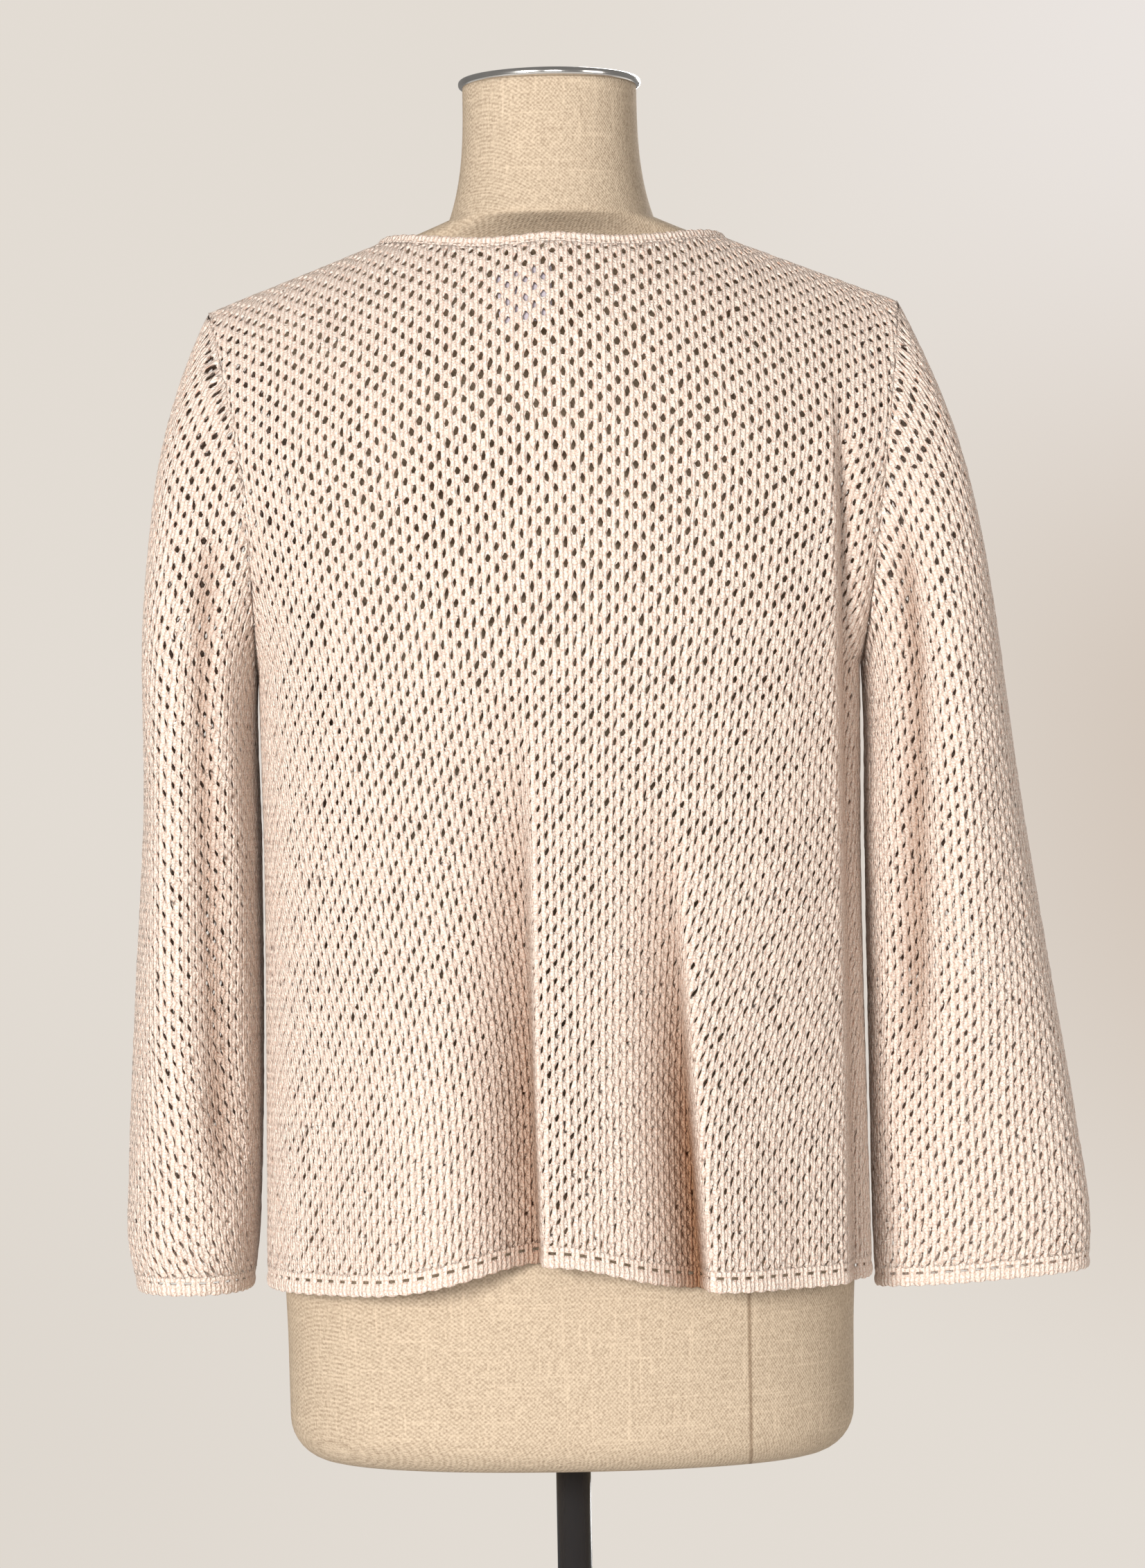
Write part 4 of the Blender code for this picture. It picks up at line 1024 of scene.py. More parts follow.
def add_edging(name, edge, ways, outward, width, crease=None, closed=False):
    """A crochet band beside an edge: bars, dash holes and round loops.

    Along the edge the band repeats each loop. Across it the thickness swells
    at the loops and the outer edge is scalloped, both as one half wave of a
    sine for a loop. ways and outward are the directions out of the wall and
    away from the panel at the edge's points.
    """
    run = lengths_along(edge)
    loops = int(round(run[-1] / LOOP_STEP))
    count = loops * LOOP_PARTS + (0 if closed else 1)
    at = np.arange(count) / (loops * LOOP_PARTS) * run[-1]

    def even(values):
        return np.stack([np.interp(at, run, values[:, k]) for k in range(3)], axis=-1)

    line, face, out = even(edge), unit(even(ways)), even(outward)
    out = unit(out - face * np.sum(out * face, axis=-1, keepdims=True))
    across, thick, swell = np.array(EDGING_ROWS).T[..., None]
    low = 1 - np.abs(np.sin(np.pi * (np.arange(count) % LOOP_PARTS / LOOP_PARTS)))
    half = thick * (1 - swell * low)
    reach = SEAM_GAP + width * across * (1 - SCALLOP * swell / swell.max() * low)
    middle = line[None] + out[None] * reach[..., None]
    front = middle + face[None] * half[..., None]
    back = middle - face[None] * half[..., None]
    quads = grid_quads(len(across), count, closed)
    keep = np.ones(quads.shape[:2], bool)
    part = np.arange(quads.shape[1]) % LOOP_PARTS
    keep[DASH_ROW, (part >= DASH_START) & (part < DASH_END)] = False
    cells = quads[keep]
    total = len(across) * count
    starts, ends = open_edges(cells)
    rim = np.stack([ends, starts, starts + total, ends + total], axis=-1)
    faces = np.concatenate([cells, cells[:, ::-1] + total, rim])
    points = np.concatenate([front.reshape(-1, 3), back.reshape(-1, 3)])
    pattern = np.stack(np.broadcast_arrays(at, reach), axis=-1).reshape(-1, 2)
    # crease depth along the band, for the painted shade in creases
    deep = np.zeros(count) if crease is None else np.interp(at, run, crease)
    deep = np.broadcast_to(deep, (2 * len(across), count)).ravel()
    piece = set_mesh(name, points, faces, np.concatenate([pattern, pattern]), deep)
    if np.dot(np.cross(line[1] - line[0], out[0]), face[0]) > 0:
        piece.data.flip_normals()
    return piece


def add_hem_edging(name, face, start, end):
    """The edging under a body panel between two places across."""
    across = np.linspace(start, end, HEM_SAMPLES)
    at = (across, np.zeros(HEM_SAMPLES), face)
    edge = body_surface(*at)
    down = edge - body_surface(across, np.full(HEM_SAMPLES, LEVEL_STEP), face)
    return add_edging(name, edge, body_normal(*at), down, HEM_TRIM, body_crease(*at))


def add_neck_edging(name, face, start, end):
    """The edging on the neckline between two places across."""
    places = np.linspace(start, end, NECK_SAMPLES)
    edge = body_surface(places, np.full(NECK_SAMPLES, 2.0), face)
    inward, ways = neck_rim(places, face)
    return add_edging(name, edge, ways, inward, NECK_TRIM)


def add_front_edging(name, side):
    """The edging down a front's open edge, from the neckline to the hem."""
    level = np.linspace(2, 0, HEM_SAMPLES)
    across = np.full(HEM_SAMPLES, side * CENTRE)
    edge = body_surface(across, level, -1)
    ways = body_normal(across, level, -1)
    beside = body_surface(np.full(HEM_SAMPLES, side * BESIDE_STEP), level, -1)
    down = edge[-1] - edge[-2]
    edge = np.concatenate([edge, [edge[-1] + unit(down) * (HEM_TRIM + SEAM_GAP)]])
    ways = np.concatenate([ways, ways[-1:]])
    inward = edge - np.concatenate([beside, [beside[-1] + edge[-1] - edge[-2]]])
    return add_edging(name, edge, ways, inward, FRONT_TRIM)


def add_cuff_edging(name, side):
    """The edging round a cuff."""
    turn = np.linspace(0, 2 * math.pi, CUFF_SAMPLES)
    edge = sleeve_surface(turn, np.full(CUFF_SAMPLES, 2.0), side)
    ways = sleeve_normal(turn, np.full(CUFF_SAMPLES, 2.0), side)
    down = edge - sleeve_surface(turn, np.full(CUFF_SAMPLES, 2.0 - BESIDE_STEP), side)
    return add_edging(name, edge, ways, down, CUFF_TRIM, closed=True)


def add_loft(name, rings):
    """A closed skin through rings of points, with a flat fan at both ends."""
    rings = np.asarray(rings)
    count, sides = rings.shape[:2]
    quads = grid_quads(count, sides, True)
    first, last = quads[0], quads[-1]
    ends = np.array([rings[0].mean(axis=0), rings[-1].mean(axis=0)])
    bottom, top = count * sides, count * sides + 1
    fan_low = np.stack([first[:, 1], first[:, 0], np.full(sides, bottom)], axis=-1)
    fan_high = np.stack([last[:, 3], last[:, 2], np.full(sides, top)], axis=-1)
    quads = quads.reshape(-1, 4)
    faces = np.concatenate([quads[:, [0, 1, 2]], quads[:, [0, 2, 3]], fan_low, fan_high])
    return set_mesh(name, np.concatenate([rings.reshape(-1, 3), ends]), faces)


def turned(profile, sides, centre_y=0.0):
    """Rings turned round the Z axis from radii and heights."""
    turn = np.arange(sides) * 2 * math.pi / sides
    cos, sin = np.cos(turn), np.sin(turn)
    return [stack(radius * cos, centre_y + radius * sin, height) for radius, height in profile]


def form_ring(half_width, half_depth, middle, height):
    """A level section of the form, a superellipse."""
    turn = np.arange(FORM_SIDES) * 2 * math.pi / FORM_SIDES
    reach = superellipse(turn, FORM_POWER)
    x = half_width * reach * np.cos(turn)
    return stack(x, middle + half_depth * reach * np.sin(turn), height)


def form_rings():
    """The form's rings: rounded bottom edge, torso, sloping shoulders, neck."""
    rings = []
    for lift in np.linspace(0, 1, CORNER_RINGS)[:-1]:
        height = FORM_BOTTOM_Z + FORM_CORNER * (1 - math.cos(lift * math.pi / 2))
        inset = FORM_CORNER * (1 - math.sin(lift * math.pi / 2))
        width, depth, middle = (along(FORM_ROWS, column, height) for column in FORM_COLUMNS)
        rings.append(form_ring(width - inset, depth - inset, middle, height))
    for height in np.linspace(FORM_BOTTOM_Z + FORM_CORNER, FORM_SHOULDER_Z, TORSO_RINGS):
        size = [along(FORM_ROWS, column, height) for column in FORM_COLUMNS]
        rings.append(form_ring(*size, height))
    for part in np.linspace(0, 1, SHOULDER_RINGS):
        width = FORM_SHOULDER_X + (FORM_NECK_BASE_X - FORM_SHOULDER_X) * part
        height = SHOULDER_Z + (SHOULDER_X - width) * SHOULDER_SLOPE - FORM_CLEAR
        depth = FORM_SHOULDER_DEPTH + (FORM_NECK_BASE_DEPTH - FORM_SHOULDER_DEPTH) * part ** 3
        rings.append(form_ring(width, depth, RIDGE_Y, height))
    base = SHOULDER_Z + (SHOULDER_X - FORM_NECK_BASE_X) * SHOULDER_SLOPE - FORM_CLEAR
    for part in np.linspace(0, 1, NECK_RINGS)[1:]:
        height = base + (FORM_NECK_TOP - base) * part
        flare = (1 - part) ** 3
        width = FORM_NECK_RADIUS + (FORM_NECK_BASE_X - FORM_NECK_RADIUS) * flare
        depth = FORM_NECK_RADIUS + (FORM_NECK_BASE_DEPTH - FORM_NECK_RADIUS) * flare
        rings.append(form_ring(width, depth, RIDGE_Y, height))
    return rings


def round_edge(radius, height, size):
    """Radii and heights round an upper edge, from its side to its top."""
    bend = np.linspace(0, math.pi / 2, EDGE_STEPS)
    return [(radius - size * (1 - math.cos(a)), height - size * (1 - math.sin(a))) for a in bend]


def cap_profile():
    """The cap on the neck: round edges and a low dome."""
    bottom = FORM_NECK_TOP + SEAM_GAP
    rim = bottom + CAP_HEIGHT
    lower = [(radius, 2 * bottom - height) for radius, height in round_edge(CAP_RADIUS, bottom, CAP_EDGE)]
    profile = lower[::-1] + round_edge(CAP_RADIUS, rim, CAP_EDGE)
    dome = np.linspace(DOME_OUTER, DOME_INNER, DOME_STEPS)
    return profile + [(CAP_RADIUS * part, rim + CAP_DOME * (1 - part ** 2)) for part in dome]


def collar_profile():
    """The collar on the base: a low ring that tapers to a neck."""
    bottom = BASE_HEIGHT + SEAM_GAP
    top = bottom + COLLAR_HEIGHT
    profile = [(COLLAR_RADIUS, bottom), (COLLAR_RADIUS, bottom + COLLAR_BAND)]
    for part in np.linspace(0, 1, TAPER_STEPS):
        radius = COLLAR_NECK_RADIUS + (COLLAR_RADIUS - COLLAR_NECK_RADIUS) * (1 - part) ** 2
        profile.append((radius, bottom + COLLAR_TAPER_FROM + COLLAR_TAPER * part))
    profile.append((COLLAR_NECK_RADIUS, top - COLLAR_BEVEL))
    return profile + [(COLLAR_NECK_RADIUS - COLLAR_BEVEL, top)]


class Nodes:
    """Short calls for building a material's node tree."""

    def __init__(self, tree):
        self.tree = tree

    def add(self, kind, **values):
        node = self.tree.nodes.new(kind)
        for key, value in values.items():
            if key.startswith("in_"):
                name = key[3:].replace("_", " ")
                socket = node.inputs[int(name)] if name.isdigit() else node.inputs[name]
                if isinstance(value, bpy.types.NodeSocket):
                    self.tree.links.new(value, socket)
                else:
                    socket.default_value = value
            else:
                setattr(node, key, value)
        return node

    def math(self, operation, first, second=None, third=None):
        node = self.tree.nodes.new("ShaderNodeMath")
        node.operation = operation
        for number, value in enumerate((first, second, third)):
            if isinstance(value, bpy.types.NodeSocket):
                self.tree.links.new(value, node.inputs[number])
            elif value is not None:
                node.inputs[number].default_value = value
        return node.outputs[0]

    def mix(self, factor, first, second, blend="MIX"):
        node = self.tree.nodes.new("ShaderNodeMix")
        node.data_type = "RGBA"
        node.blend_type = blend
        for number, value in ((0, factor), (6, first), (7, second)):
            socket = node.inputs[number]
            if isinstance(value, bpy.types.NodeSocket):
                self.tree.links.new(value, socket)
            elif isinstance(value, tuple):
                socket.default_value = (*value, 1.0)
            else:
                socket.default_value = value
        return node.outputs[2]

    def ramp(self, factor, low, high):
        ramp = self.add("ShaderNodeMapRange", in_Value=factor, in_1=low, in_2=high, clamp=True)
        return ramp.outputs[0]

    def noise(self, vector, noise, output="Fac"):
        node = self.add("ShaderNodeTexNoise", in_Vector=vector, in_Scale=noise.scale,
                        in_Detail=noise.detail, in_Roughness=noise.roughness)
        return node.outputs[output]

    def darken(self, factor, colour, tint):
        return self.mix(factor, colour, self.mix(1.0, colour, tint, "MULTIPLY"))

    def link(self, output, socket):
        self.tree.links.new(output, socket)


def new_material(name):
    """An empty material with a Principled shader, and the short calls for it."""
    made = bpy.data.materials.new(name)
    made.use_nodes = True
    nodes = Nodes(made.node_tree)
    shader = made.node_tree.nodes["Principled BSDF"]
    return made, nodes, shader


def add_bump(nodes, shader, height, strength, distance):
    """Relief on a material from a height."""
    bump = nodes.add("ShaderNodeBump", in_Strength=strength, in_Distance=distance, in_Height=height)
    nodes.link(bump.outputs[0], shader.inputs["Normal"])


def yarn_group():
    """Shader group: speckled boucle yarn, as a colour and a height.

    The cloth is upright cords of V stitches. With u the place across in cords
    and v the place up in stitches, t = |2 frac(u) - 1| is 0 along a cord and 1
    in its groove, and the height is (1 - t^2)(1 + s) / 2 with
    s = |sin(pi (v - 0.45 t))|^0.5. Noise bends u and v, makes stitches
    uneven and adds the curls of the yarn. The colour mixes flecks of a second
    and third colour into the first, and painted shade darkens it in grooves and creases.
    """
    tree = bpy.data.node_groups.new("speckled yarn", "ShaderNodeTree")
    face = tree.interface
    face.new_socket("Vector", in_out="INPUT", socket_type="NodeSocketVector")
    for title in ("Base", "Fleck", "Grey"):
        face.new_socket(title, in_out="INPUT", socket_type="NodeSocketColor")
    for title in ("Width", "Height", "Groove", "Crease"):
        face.new_socket(title, in_out="INPUT", socket_type="NodeSocketFloat")
    face.new_socket("Color", in_out="OUTPUT", socket_type="NodeSocketColor")
    face.new_socket("Relief", in_out="OUTPUT", socket_type="NodeSocketFloat")
    nodes = Nodes(tree)
    inputs = nodes.add("NodeGroupInput")
    outputs = nodes.add("NodeGroupOutput")
    vector = inputs.outputs["Vector"]
    bent = nodes.add("ShaderNodeSeparateXYZ", in_Vector=nodes.noise(vector, YARN_BENDS, "Color"))
    apart = nodes.add("ShaderNodeSeparateXYZ", in_Vector=vector)
    across = nodes.math("MULTIPLY_ADD", bent.outputs["X"], YARN_BEND, apart.outputs["X"])
    upward = nodes.math("MULTIPLY_ADD", bent.outputs["Y"], YARN_BEND, apart.outputs["Y"])

    # the V stitches, uneven in height
    cord = nodes.math("FRACT", nodes.math("DIVIDE", across, inputs.outputs["Width"]))
    aside = nodes.math("ABSOLUTE", nodes.math("MULTIPLY_ADD", cord, 2.0, -1.0))
    stitch = nodes.math("DIVIDE", upward, inputs.outputs["Height"])
    stitch = nodes.math("MULTIPLY_ADD", aside, STITCH_TILT, stitch)
    stitch = nodes.math("ABSOLUTE", nodes.math("SINE", nodes.math("MULTIPLY", stitch, math.pi)))
    stitch = nodes.math("MULTIPLY_ADD", nodes.math("SQRT", stitch), 0.5, 0.5)
    round_cord = nodes.math("SUBTRACT", 1.0, nodes.math("MULTIPLY", aside, aside))
    uneven = nodes.math("MULTIPLY_ADD", nodes.noise(vector, YARN_UNEVEN), 1.1, 0.4)
    lump = nodes.math("MULTIPLY", nodes.math("MULTIPLY", round_cord, stitch), uneven)

    # the curls of the yarn
    curl = nodes.noise(vector, YARN_CURLS)
    relief = nodes.math("MULTIPLY_ADD", nodes.noise(vector, YARN_FINE), 0.4, lump)
    relief = nodes.math("MULTIPLY_ADD", curl, 0.7, relief)

    # flecks, then painted shade in grooves, deeper tones in soft random patches, and painted shade in
    # creases
    flecks = nodes.ramp(nodes.noise(vector, YARN_FLECKS), 0.50, 0.64)
    colour = nodes.mix(flecks, inputs.outputs["Base"], inputs.outputs["Fleck"])
    grey = nodes.math("MULTIPLY", nodes.ramp(curl, 0.58, 0.70), 0.5)
    colour = nodes.mix(grey, colour, inputs.outputs["Grey"])
    # painted shade in the grooves between stitches, tinted with the fleck colour
    deep = nodes.math("SUBTRACT", 1.0, nodes.math("MULTIPLY_ADD", curl, 0.4, lump))
    deep = nodes.math("MULTIPLY", nodes.ramp(deep, 0.0, 0.7), inputs.outputs["Groove"])
    colour = nodes.darken(deep, colour, inputs.outputs["Fleck"])
    shade = nodes.math("MULTIPLY", nodes.ramp(nodes.noise(vector, YARN_TONES), 0.35, 0.65), 0.10)
    colour = nodes.darken(shade, colour, TONE_TINT)
    # painted shade in creases, deeper the deeper the crease
    colour = nodes.darken(inputs.outputs["Crease"], colour, PAINTED_CREASE_SHADE)
    nodes.link(colour, outputs.inputs["Color"])
    nodes.link(relief, outputs.inputs["Relief"])
    return tree


def yarn_material(name, settings, width, height):
    """Matt cotton yarn on a piece's own cloth coordinates, with painted shade in its creases and between
    its stitches.
    """
    made, nodes, shader = new_material(name)
    cloth = nodes.add("ShaderNodeUVMap", uv_map="cloth")
    # the crease depth of each point, which sets the painted shade in creases
    crease = nodes.add("ShaderNodeAttribute", attribute_name="crease")
    group = bpy.data.node_groups.get("speckled yarn") or yarn_group()
    yarn = nodes.add("ShaderNodeGroup", node_tree=group)
    nodes.link(cloth.outputs[0], yarn.inputs["Vector"])
    nodes.link(crease.outputs["Fac"], yarn.inputs["Crease"])
    for title in ("Base", "Fleck", "Grey"):
        yarn.inputs[title].default_value = (*getattr(settings, title.lower()), 1)
    for title, value in (("Width", width), ("Height", height), ("Groove", settings.groove)):
        yarn.inputs[title].default_value = value
    nodes.link(yarn.outputs["Color"], shader.inputs["Base Color"])
    add_bump(nodes, shader, yarn.outputs["Relief"], 1.0, YARN_RELIEF)
    shader.inputs["Roughness"].default_value = 0.95
    shader.inputs["Specular IOR Level"].default_value = 0.10
    return made


def linen_material(colour, dark):
    """Coarse linen: warp and weft waves crossed, with slubs, speckle and one seam."""
    made, nodes, shader = new_material("form_linen")
    where = nodes.add("ShaderNodeTexCoord").outputs["Object"]
    apart = nodes.add("ShaderNodeSeparateXYZ", in_Vector=where)
    slub = nodes.noise(where, LINEN_SLUBS)
    across = nodes.math("MULTIPLY_ADD", slub, SLUB_ACROSS, apart.outputs["X"])
    upward = nodes.math("MULTIPLY_ADD", slub, SLUB_UP, apart.outputs["Z"])
    deep = nodes.math("ADD", across, apart.outputs["Y"])
    warp = nodes.math("SINE", nodes.math("MULTIPLY", deep, 2 * math.pi / LINEN_STEP))
    weft = nodes.math("SINE", nodes.math("MULTIPLY", upward, 2 * math.pi / LINEN_STEP))
    weave = nodes.math("MULTIPLY_ADD", nodes.math("MULTIPLY", warp, weft), 0.5, 0.5)
    streaks = []
    for scale in ((STREAK_FINE, STREAK_FINE, STREAK_LONG), (STREAK_LONG, STREAK_LONG, STREAK_FINE)):
        stretched = nodes.add("ShaderNodeMapping", in_Vector=where, in_Scale=scale)
        streaks.append(nodes.noise(stretched.outputs[0], LINEN_STREAKS))
    streak = nodes.ramp(nodes.math("MAXIMUM", *streaks), 0.56, 0.78)
    weave = nodes.math("MULTIPLY", weave, 0.5)
    rough = nodes.math("MULTIPLY_ADD", nodes.noise(where, LINEN_SPECKLE), 1.2, weave)
    tone = nodes.mix(nodes.ramp(rough, 0.45, 1.15), dark, colour)
    light = tuple(min(1.0, channel * 1.22) for channel in colour)
    tone = nodes.mix(nodes.math("MULTIPLY", streak, 0.5), tone, light)
    off = nodes.math("ABSOLUTE", nodes.math("SUBTRACT", apart.outputs["X"], FORM_SEAM))
    line = nodes.math("MULTIPLY", nodes.ramp(off, SEAM_WIDE, SEAM_CORE), 0.6)
    nodes.link(nodes.darken(line, tone, dark), shader.inputs["Base Color"])
    add_bump(nodes, shader, rough, 0.7, 0.0004)
    shader.inputs["Roughness"].default_value = 0.9
    shader.inputs["Specular IOR Level"].default_value = 0.2
    return made


def metal_material(name, colour, metallic, roughness, scratch):
    """Metal or gloss paint with faint wear in its roughness."""
    made, nodes, shader = new_material(name)
    where = nodes.add("ShaderNodeTexCoord").outputs["Object"]
    rough = nodes.add("ShaderNodeMapRange", in_Value=nodes.noise(where, METAL_WEAR),
                      in_3=roughness, in_4=roughness + scratch)
    nodes.link(rough.outputs[0], shader.inputs["Roughness"])
    darker = tuple(channel * 0.82 for channel in colour)
    tone = nodes.mix(nodes.ramp(nodes.noise(where, METAL_SMUDGES), 0.4, 0.7), colour, darker)
    nodes.link(tone, shader.inputs["Base Color"])
    shader.inputs["Metallic"].default_value = metallic
    return made


def label_material(colour):
    """A blank woven tape: fine diagonal twill in one colour."""
    made, nodes, shader = new_material("label_tape")
    where = nodes.add("ShaderNodeTexCoord").outputs["Object"]
    apart = nodes.add("ShaderNodeSeparateXYZ", in_Vector=where)
    sum_xz = nodes.math("ADD", apart.outputs["X"], apart.outputs["Z"])
    twill = nodes.math("SINE", nodes.math("MULTIPLY", sum_xz, 2 * math.pi / TWILL_STEP))
    darker = tuple(channel * 0.85 for channel in colour)
    nodes.link(nodes.mix(nodes.ramp(twill, -1.0, 1.0), darker, colour), shader.inputs["Base Color"])
    add_bump(nodes, shader, twill, 0.4, 0.0002)
    shader.inputs["Roughness"].default_value = 0.6
    return made


def dress(piece, made, *nodes_replaced, slot):
    """Gives a piece its material, rides it on the frame and hides what it replaces."""
    piece.data.materials.clear()
    piece.data.materials.append(made)
    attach(piece, "root")
    if nodes_replaced:
        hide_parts(*nodes_replaced)
    return piece


def colour_setting(name, description, default):
    """A colour in the panel."""
    return bpy.props.FloatVectorProperty(
        name=name, description=description, subtype="COLOR", size=3, min=0, max=1, default=default)


class KnitSettings(bpy.types.PropertyGroup):
    """Yarn colours of the cardigan, and how strong the painted shade between stitches is."""

    base: colour_setting("Yarn", "Main colour of the yarn", (0.88, 0.785, 0.705))
    # the fleck colour also tints the painted shade in the grooves
    fleck: colour_setting("Fleck", "Warm flecks in the yarn", (0.72, 0.54, 0.45))
    grey: colour_setting("Grey fleck", "Darker flecks in the yarn", (0.50, 0.46, 0.42))
    # how strongly painted shade darkens the grooves between stitches
    groove: bpy.props.FloatProperty(
        name="Groove", description="How much the colour deepens between stitches", subtype="FACTOR",
        min=0, max=1, default=0.55)


class FormSettings(bpy.types.PropertyGroup):
    """Colours of the dress form and the label."""

    linen: colour_setting("Linen", "Light thread of the cover", (0.56, 0.455, 0.34))
    linen_dark: colour_setting("Dark linen", "Gaps of the weave", (0.31, 0.235, 0.165))
    label: colour_setting("Label", "Blank label in the neck", (0.55, 0.50, 0.56))


class BuildKnit(bpy.types.Operator):
    """Builds the back, the fronts and the sleeves of net."""

    bl_idname = "cardigan.build_knit"
    bl_label = "Build knit panels"

    def execute(self, context):
        settings = context.scene.cardigan_knit
        made = yarn_material("knit_yarn", settings, CORD_STEP, STITCH_STEP)
        dress(add_body_panel("knit_back", 1, 0), made, "back", slot="knit")
        dress(add_body_panel("knit_front_left", -1, 1), made, "front_left", slot="knit")
        dress(add_body_panel("knit_front_right", -1, -1), made, "front_right", slot="knit")
        dress(add_sleeve_panel("knit_sleeve_left", 1), made, "sleeve_left", slot="knit")
        dress(add_sleeve_panel("knit_sleeve_right", -1), made, "sleeve_right", slot="knit")
        return {"FINISHED"}


class BuildEdging(bpy.types.Operator):
    """Builds the crochet edging at the neck, fronts, hem and cuffs."""

    bl_idname = "cardigan.build_edging"
    bl_label = "Build edging"

    def execute(self, context):
        settings = context.scene.cardigan_knit
        made = yarn_material("edging_yarn", settings, LOOP_STEP / 3, HEM_TRIM / 4)
        corner = NECK_SHARE - 2 * EDGE_STEP
        pieces = {
            "hem_edging_back": add_hem_edging("crochet_hem_back", 1, -1.0, 1.0),
            "hem_edging_left": add_hem_edging("crochet_hem_left", -1, CENTRE, 1.0),
            "hem_edging_right": add_hem_edging("crochet_hem_right", -1, -1.0, -CENTRE),
            "neck_edging_back": add_neck_edging("crochet_neck_back", 1, -corner, corner),
            "neck_edging_left": add_neck_edging("crochet_neck_left", -1, CENTRE, corner),
            "neck_edging_right": add_neck_edging("crochet_neck_right", -1, -corner, -CENTRE),
            "front_edging_left": add_front_edging("crochet_front_left", 1),
            "front_edging_right": add_front_edging("crochet_front_right", -1),
            "cuff_edging_left": add_cuff_edging("crochet_cuff_left", 1),
            "cuff_edging_right": add_cuff_edging("crochet_cuff_right", -1),
        }
        for node, piece in pieces.items():
            dress(piece, made, node, slot="edging")
        return {"FINISHED"}


class FinishForm(bpy.types.Operator):
    """Builds the linen form and finishes the label, cap, pole and base."""

    bl_idname = "cardigan.finish_form"
    bl_label = "Finish form and stand"

    def execute(self, context):
        settings = context.scene.cardigan_form
        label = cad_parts["neck_label"]
        label.data.materials.clear()
        label.data.materials.append(label_material(tuple(settings.label)))
        linen = linen_material(tuple(settings.linen), tuple(settings.linen_dark))
        dress(add_loft("linen_form", form_rings()), linen, "form_body", slot="form_linen")
        chrome = metal_material("cap_chrome", (0.78, 0.77, 0.75), 1.0, 0.12, 0.10)
        cap = add_loft("chrome_cap", turned(cap_profile(), CAP_SIDES, RIDGE_Y))
        dress(cap, chrome, "neck_cap", slot="chrome_cap")
        black = metal_material("stand_black", (0.018, 0.018, 0.020), 0.0, 0.16, 0.12)
        pole_bottom = BASE_HEIGHT + COLLAR_HEIGHT + 2 * SEAM_GAP
        pole = [(POLE_RADIUS, pole_bottom), (POLE_RADIUS, FORM_BOTTOM_Z - SEAM_GAP)]
        dress(add_loft("black_pole", turned(pole, POLE_SIDES)), black, "pole", slot="black_metal")
        collar = add_loft("black_collar", turned(collar_profile(), POLE_SIDES))
        dress(collar, black, "pole_collar", slot="black_metal")
        base = [(BASE_RADIUS - BASE_BEVEL, 0.0), (BASE_RADIUS, BASE_BEVEL)]
        base += [(BASE_RADIUS, BASE_HEIGHT - BASE_EDGE)]
        base += round_edge(BASE_RADIUS, BASE_HEIGHT, BASE_EDGE)
        dress(add_loft("black_base", turned(base, BASE_SIDES)), black, "base", slot="black_metal")
        return {"FINISHED"}


class StateCloth(bpy.types.Operator):
    """Looks up the pieces sewn to each panel in the cut table; it states no sizes."""

    bl_idname = "cardigan.state_cloth"
    bl_label = "State cloth sizes"

    def execute(self, context):
        for cut in CUTS:
            sewn = [bpy.data.objects[name] for name in cut.sewn]
            list(cut.rests_on)
        return {"FINISHED"}


def studio_world():
    """Pale air all round, with painted light and shade in patches behind, which lights the object only a
    little.
    """
    world = bpy.data.worlds.new("studio_air")
    world.use_nodes = True
    nodes = Nodes(world.node_tree)
    direction = nodes.add("ShaderNodeTexCoord").outputs["Generated"]
    tone = AIR_COLOUR
    # painted light and shade: lighter and darker patches on the backdrop, seen only by the camera
    for spot in AIR_PAINTED_LIGHT:
        away = nodes.add("ShaderNodeVectorMath", operation="DISTANCE",
                         in_0=direction, in_1=spot.way)
        near = nodes.add("ShaderNodeMapRange", interpolation_type="SMOOTHSTEP",
                         in_Value=away.outputs["Value"], in_1=spot.reach, in_2=0.0)
        tone = nodes.mix(nodes.math("MULTIPLY", near.outputs[0], spot.strength), tone, spot.colour)
    seen = nodes.add("ShaderNodeLightPath").outputs["Is Camera Ray"]
    background = world.node_tree.nodes["Background"]
    nodes.link(nodes.mix(seen, AIR_LIGHT, tone), background.inputs["Color"])
    return world


def studio_floor():
    """A plain pale disc of paper under the stand."""
    made, nodes, shader = new_material("studio_paper")
    where = nodes.add("ShaderNodeTexCoord").outputs["Object"]
    tone = nodes.mix(nodes.noise(where, PAPER_TONES), FLOOR_DARK, FLOOR_LIGHT)
    nodes.link(tone, shader.inputs["Base Color"])
    shader.inputs["Roughness"].default_value = 0.95
    rings = turned([(radius, FLOOR_Z) for radius in FLOOR_RINGS], FLOOR_SIDES)
    quads = grid_quads(len(rings), FLOOR_SIDES, True)[..., ::-1]
    floor = set_mesh("studio_floor", np.concatenate(rings), quads.reshape(-1, 4))
    floor.data.materials.append(made)


def studio_lamp(lamp):
    """A square soft lamp that points at the object."""
    light = bpy.data.lights.new(lamp.name, "AREA")
    light.shape = "RECTANGLE"
    light.size = light.size_y = lamp.size
    light.energy = lamp.power
    light.color = lamp.colour
    placed = bpy.data.objects.new(lamp.name, light)
    bpy.context.scene.collection.objects.link(placed)
    placed.location = lamp.place
    way = Vector((0, 0, lamp.aim_z)) - Vector(lamp.place)
    placed.rotation_mode = "QUATERNION"
    placed.rotation_quaternion = way.to_track_quat("-Z", "Y")


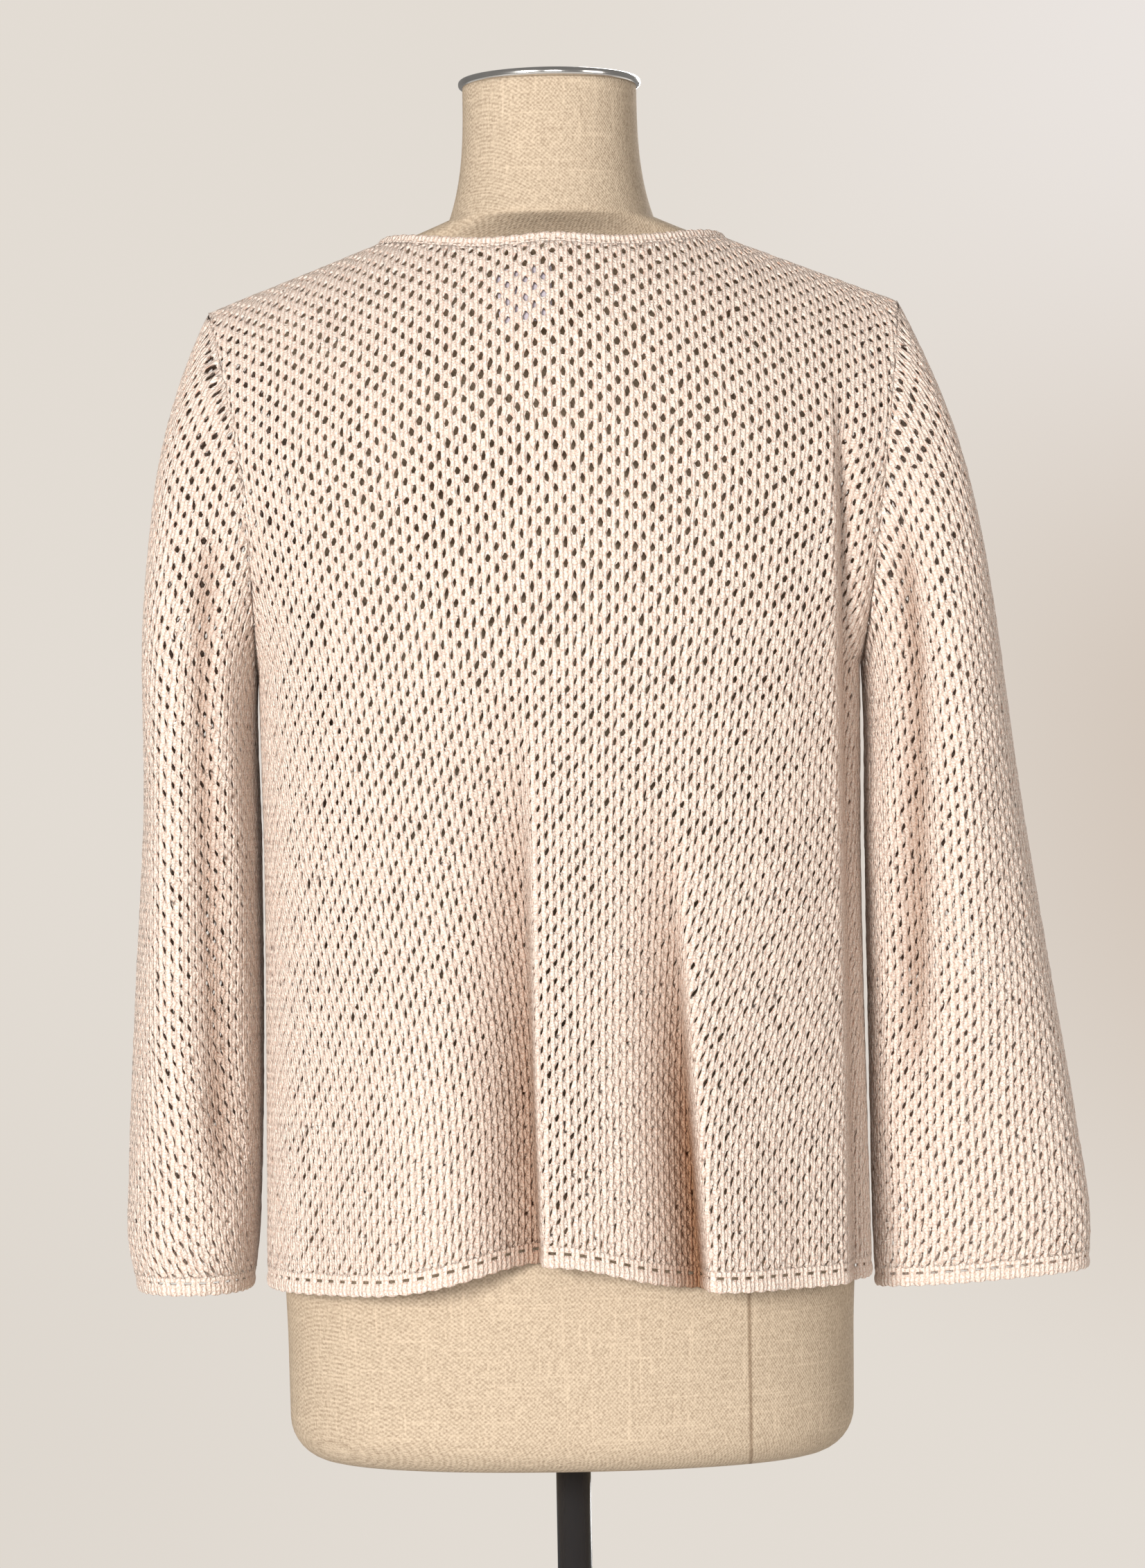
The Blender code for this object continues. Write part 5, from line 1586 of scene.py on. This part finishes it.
class BuildStage(bpy.types.Operator):
    """Sets the floor, the backdrop, the studio lights and the camera."""

    bl_idname = "cardigan.build_stage"
    bl_label = "Build stage"

    def execute(self, context):
        studio_floor()
        for lamp in LAMPS:
            studio_lamp(lamp)
        context.scene.world = studio_world()
        context.scene.view_settings.view_transform = "Standard"
        data = bpy.data.cameras.new("photo_camera")
        data.sensor_fit = "AUTO"
        data.sensor_width = CAMERA_SENSOR
        data.lens = CAMERA_LENS
        camera = bpy.data.objects.new("photo_camera", data)
        context.scene.collection.objects.link(camera)
        camera.location = CAMERA_PLACE
        camera.rotation_euler = (math.pi / 2, CAMERA_ROLL, math.pi)
        context.scene.camera = camera
        return {"FINISHED"}


class CardiganPanel(bpy.types.Panel):
    """Lists the cardigan's settings and build steps."""

    bl_idname = "VIEW3D_PT_cardigan"
    bl_label = "Cardigan"
    bl_space_type = "VIEW_3D"
    bl_region_type = "UI"
    bl_category = "Cardigan"

    def draw(self, context):
        for settings in (context.scene.cardigan_knit, context.scene.cardigan_form):
            for name in settings.bl_rna.properties.keys():
                if name not in ("rna_type", "name"):
                    self.layout.prop(settings, name)
        for step in STEPS:
            self.layout.operator(step.bl_idname)


STEPS = (BuildKnit, BuildEdging, FinishForm, StateCloth, BuildStage)
CLASSES = (KnitSettings, FormSettings, *STEPS, CardiganPanel)


def register():
    """Registers the classes and their settings."""
    for item in CLASSES:
        bpy.utils.register_class(item)
    bpy.types.Scene.cardigan_knit = bpy.props.PointerProperty(type=KnitSettings)
    bpy.types.Scene.cardigan_form = bpy.props.PointerProperty(type=FormSettings)


def unregister():
    """Removes the settings and the classes."""
    del bpy.types.Scene.cardigan_form
    del bpy.types.Scene.cardigan_knit
    for item in reversed(CLASSES):
        bpy.utils.unregister_class(item)


def main():
    """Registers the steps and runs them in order."""
    register()
    bpy.ops.cardigan.build_knit()
    bpy.ops.cardigan.build_edging()
    bpy.ops.cardigan.finish_form()
    bpy.ops.cardigan.state_cloth()
    bpy.ops.cardigan.build_stage()


if __name__ == "__main__":
    main()
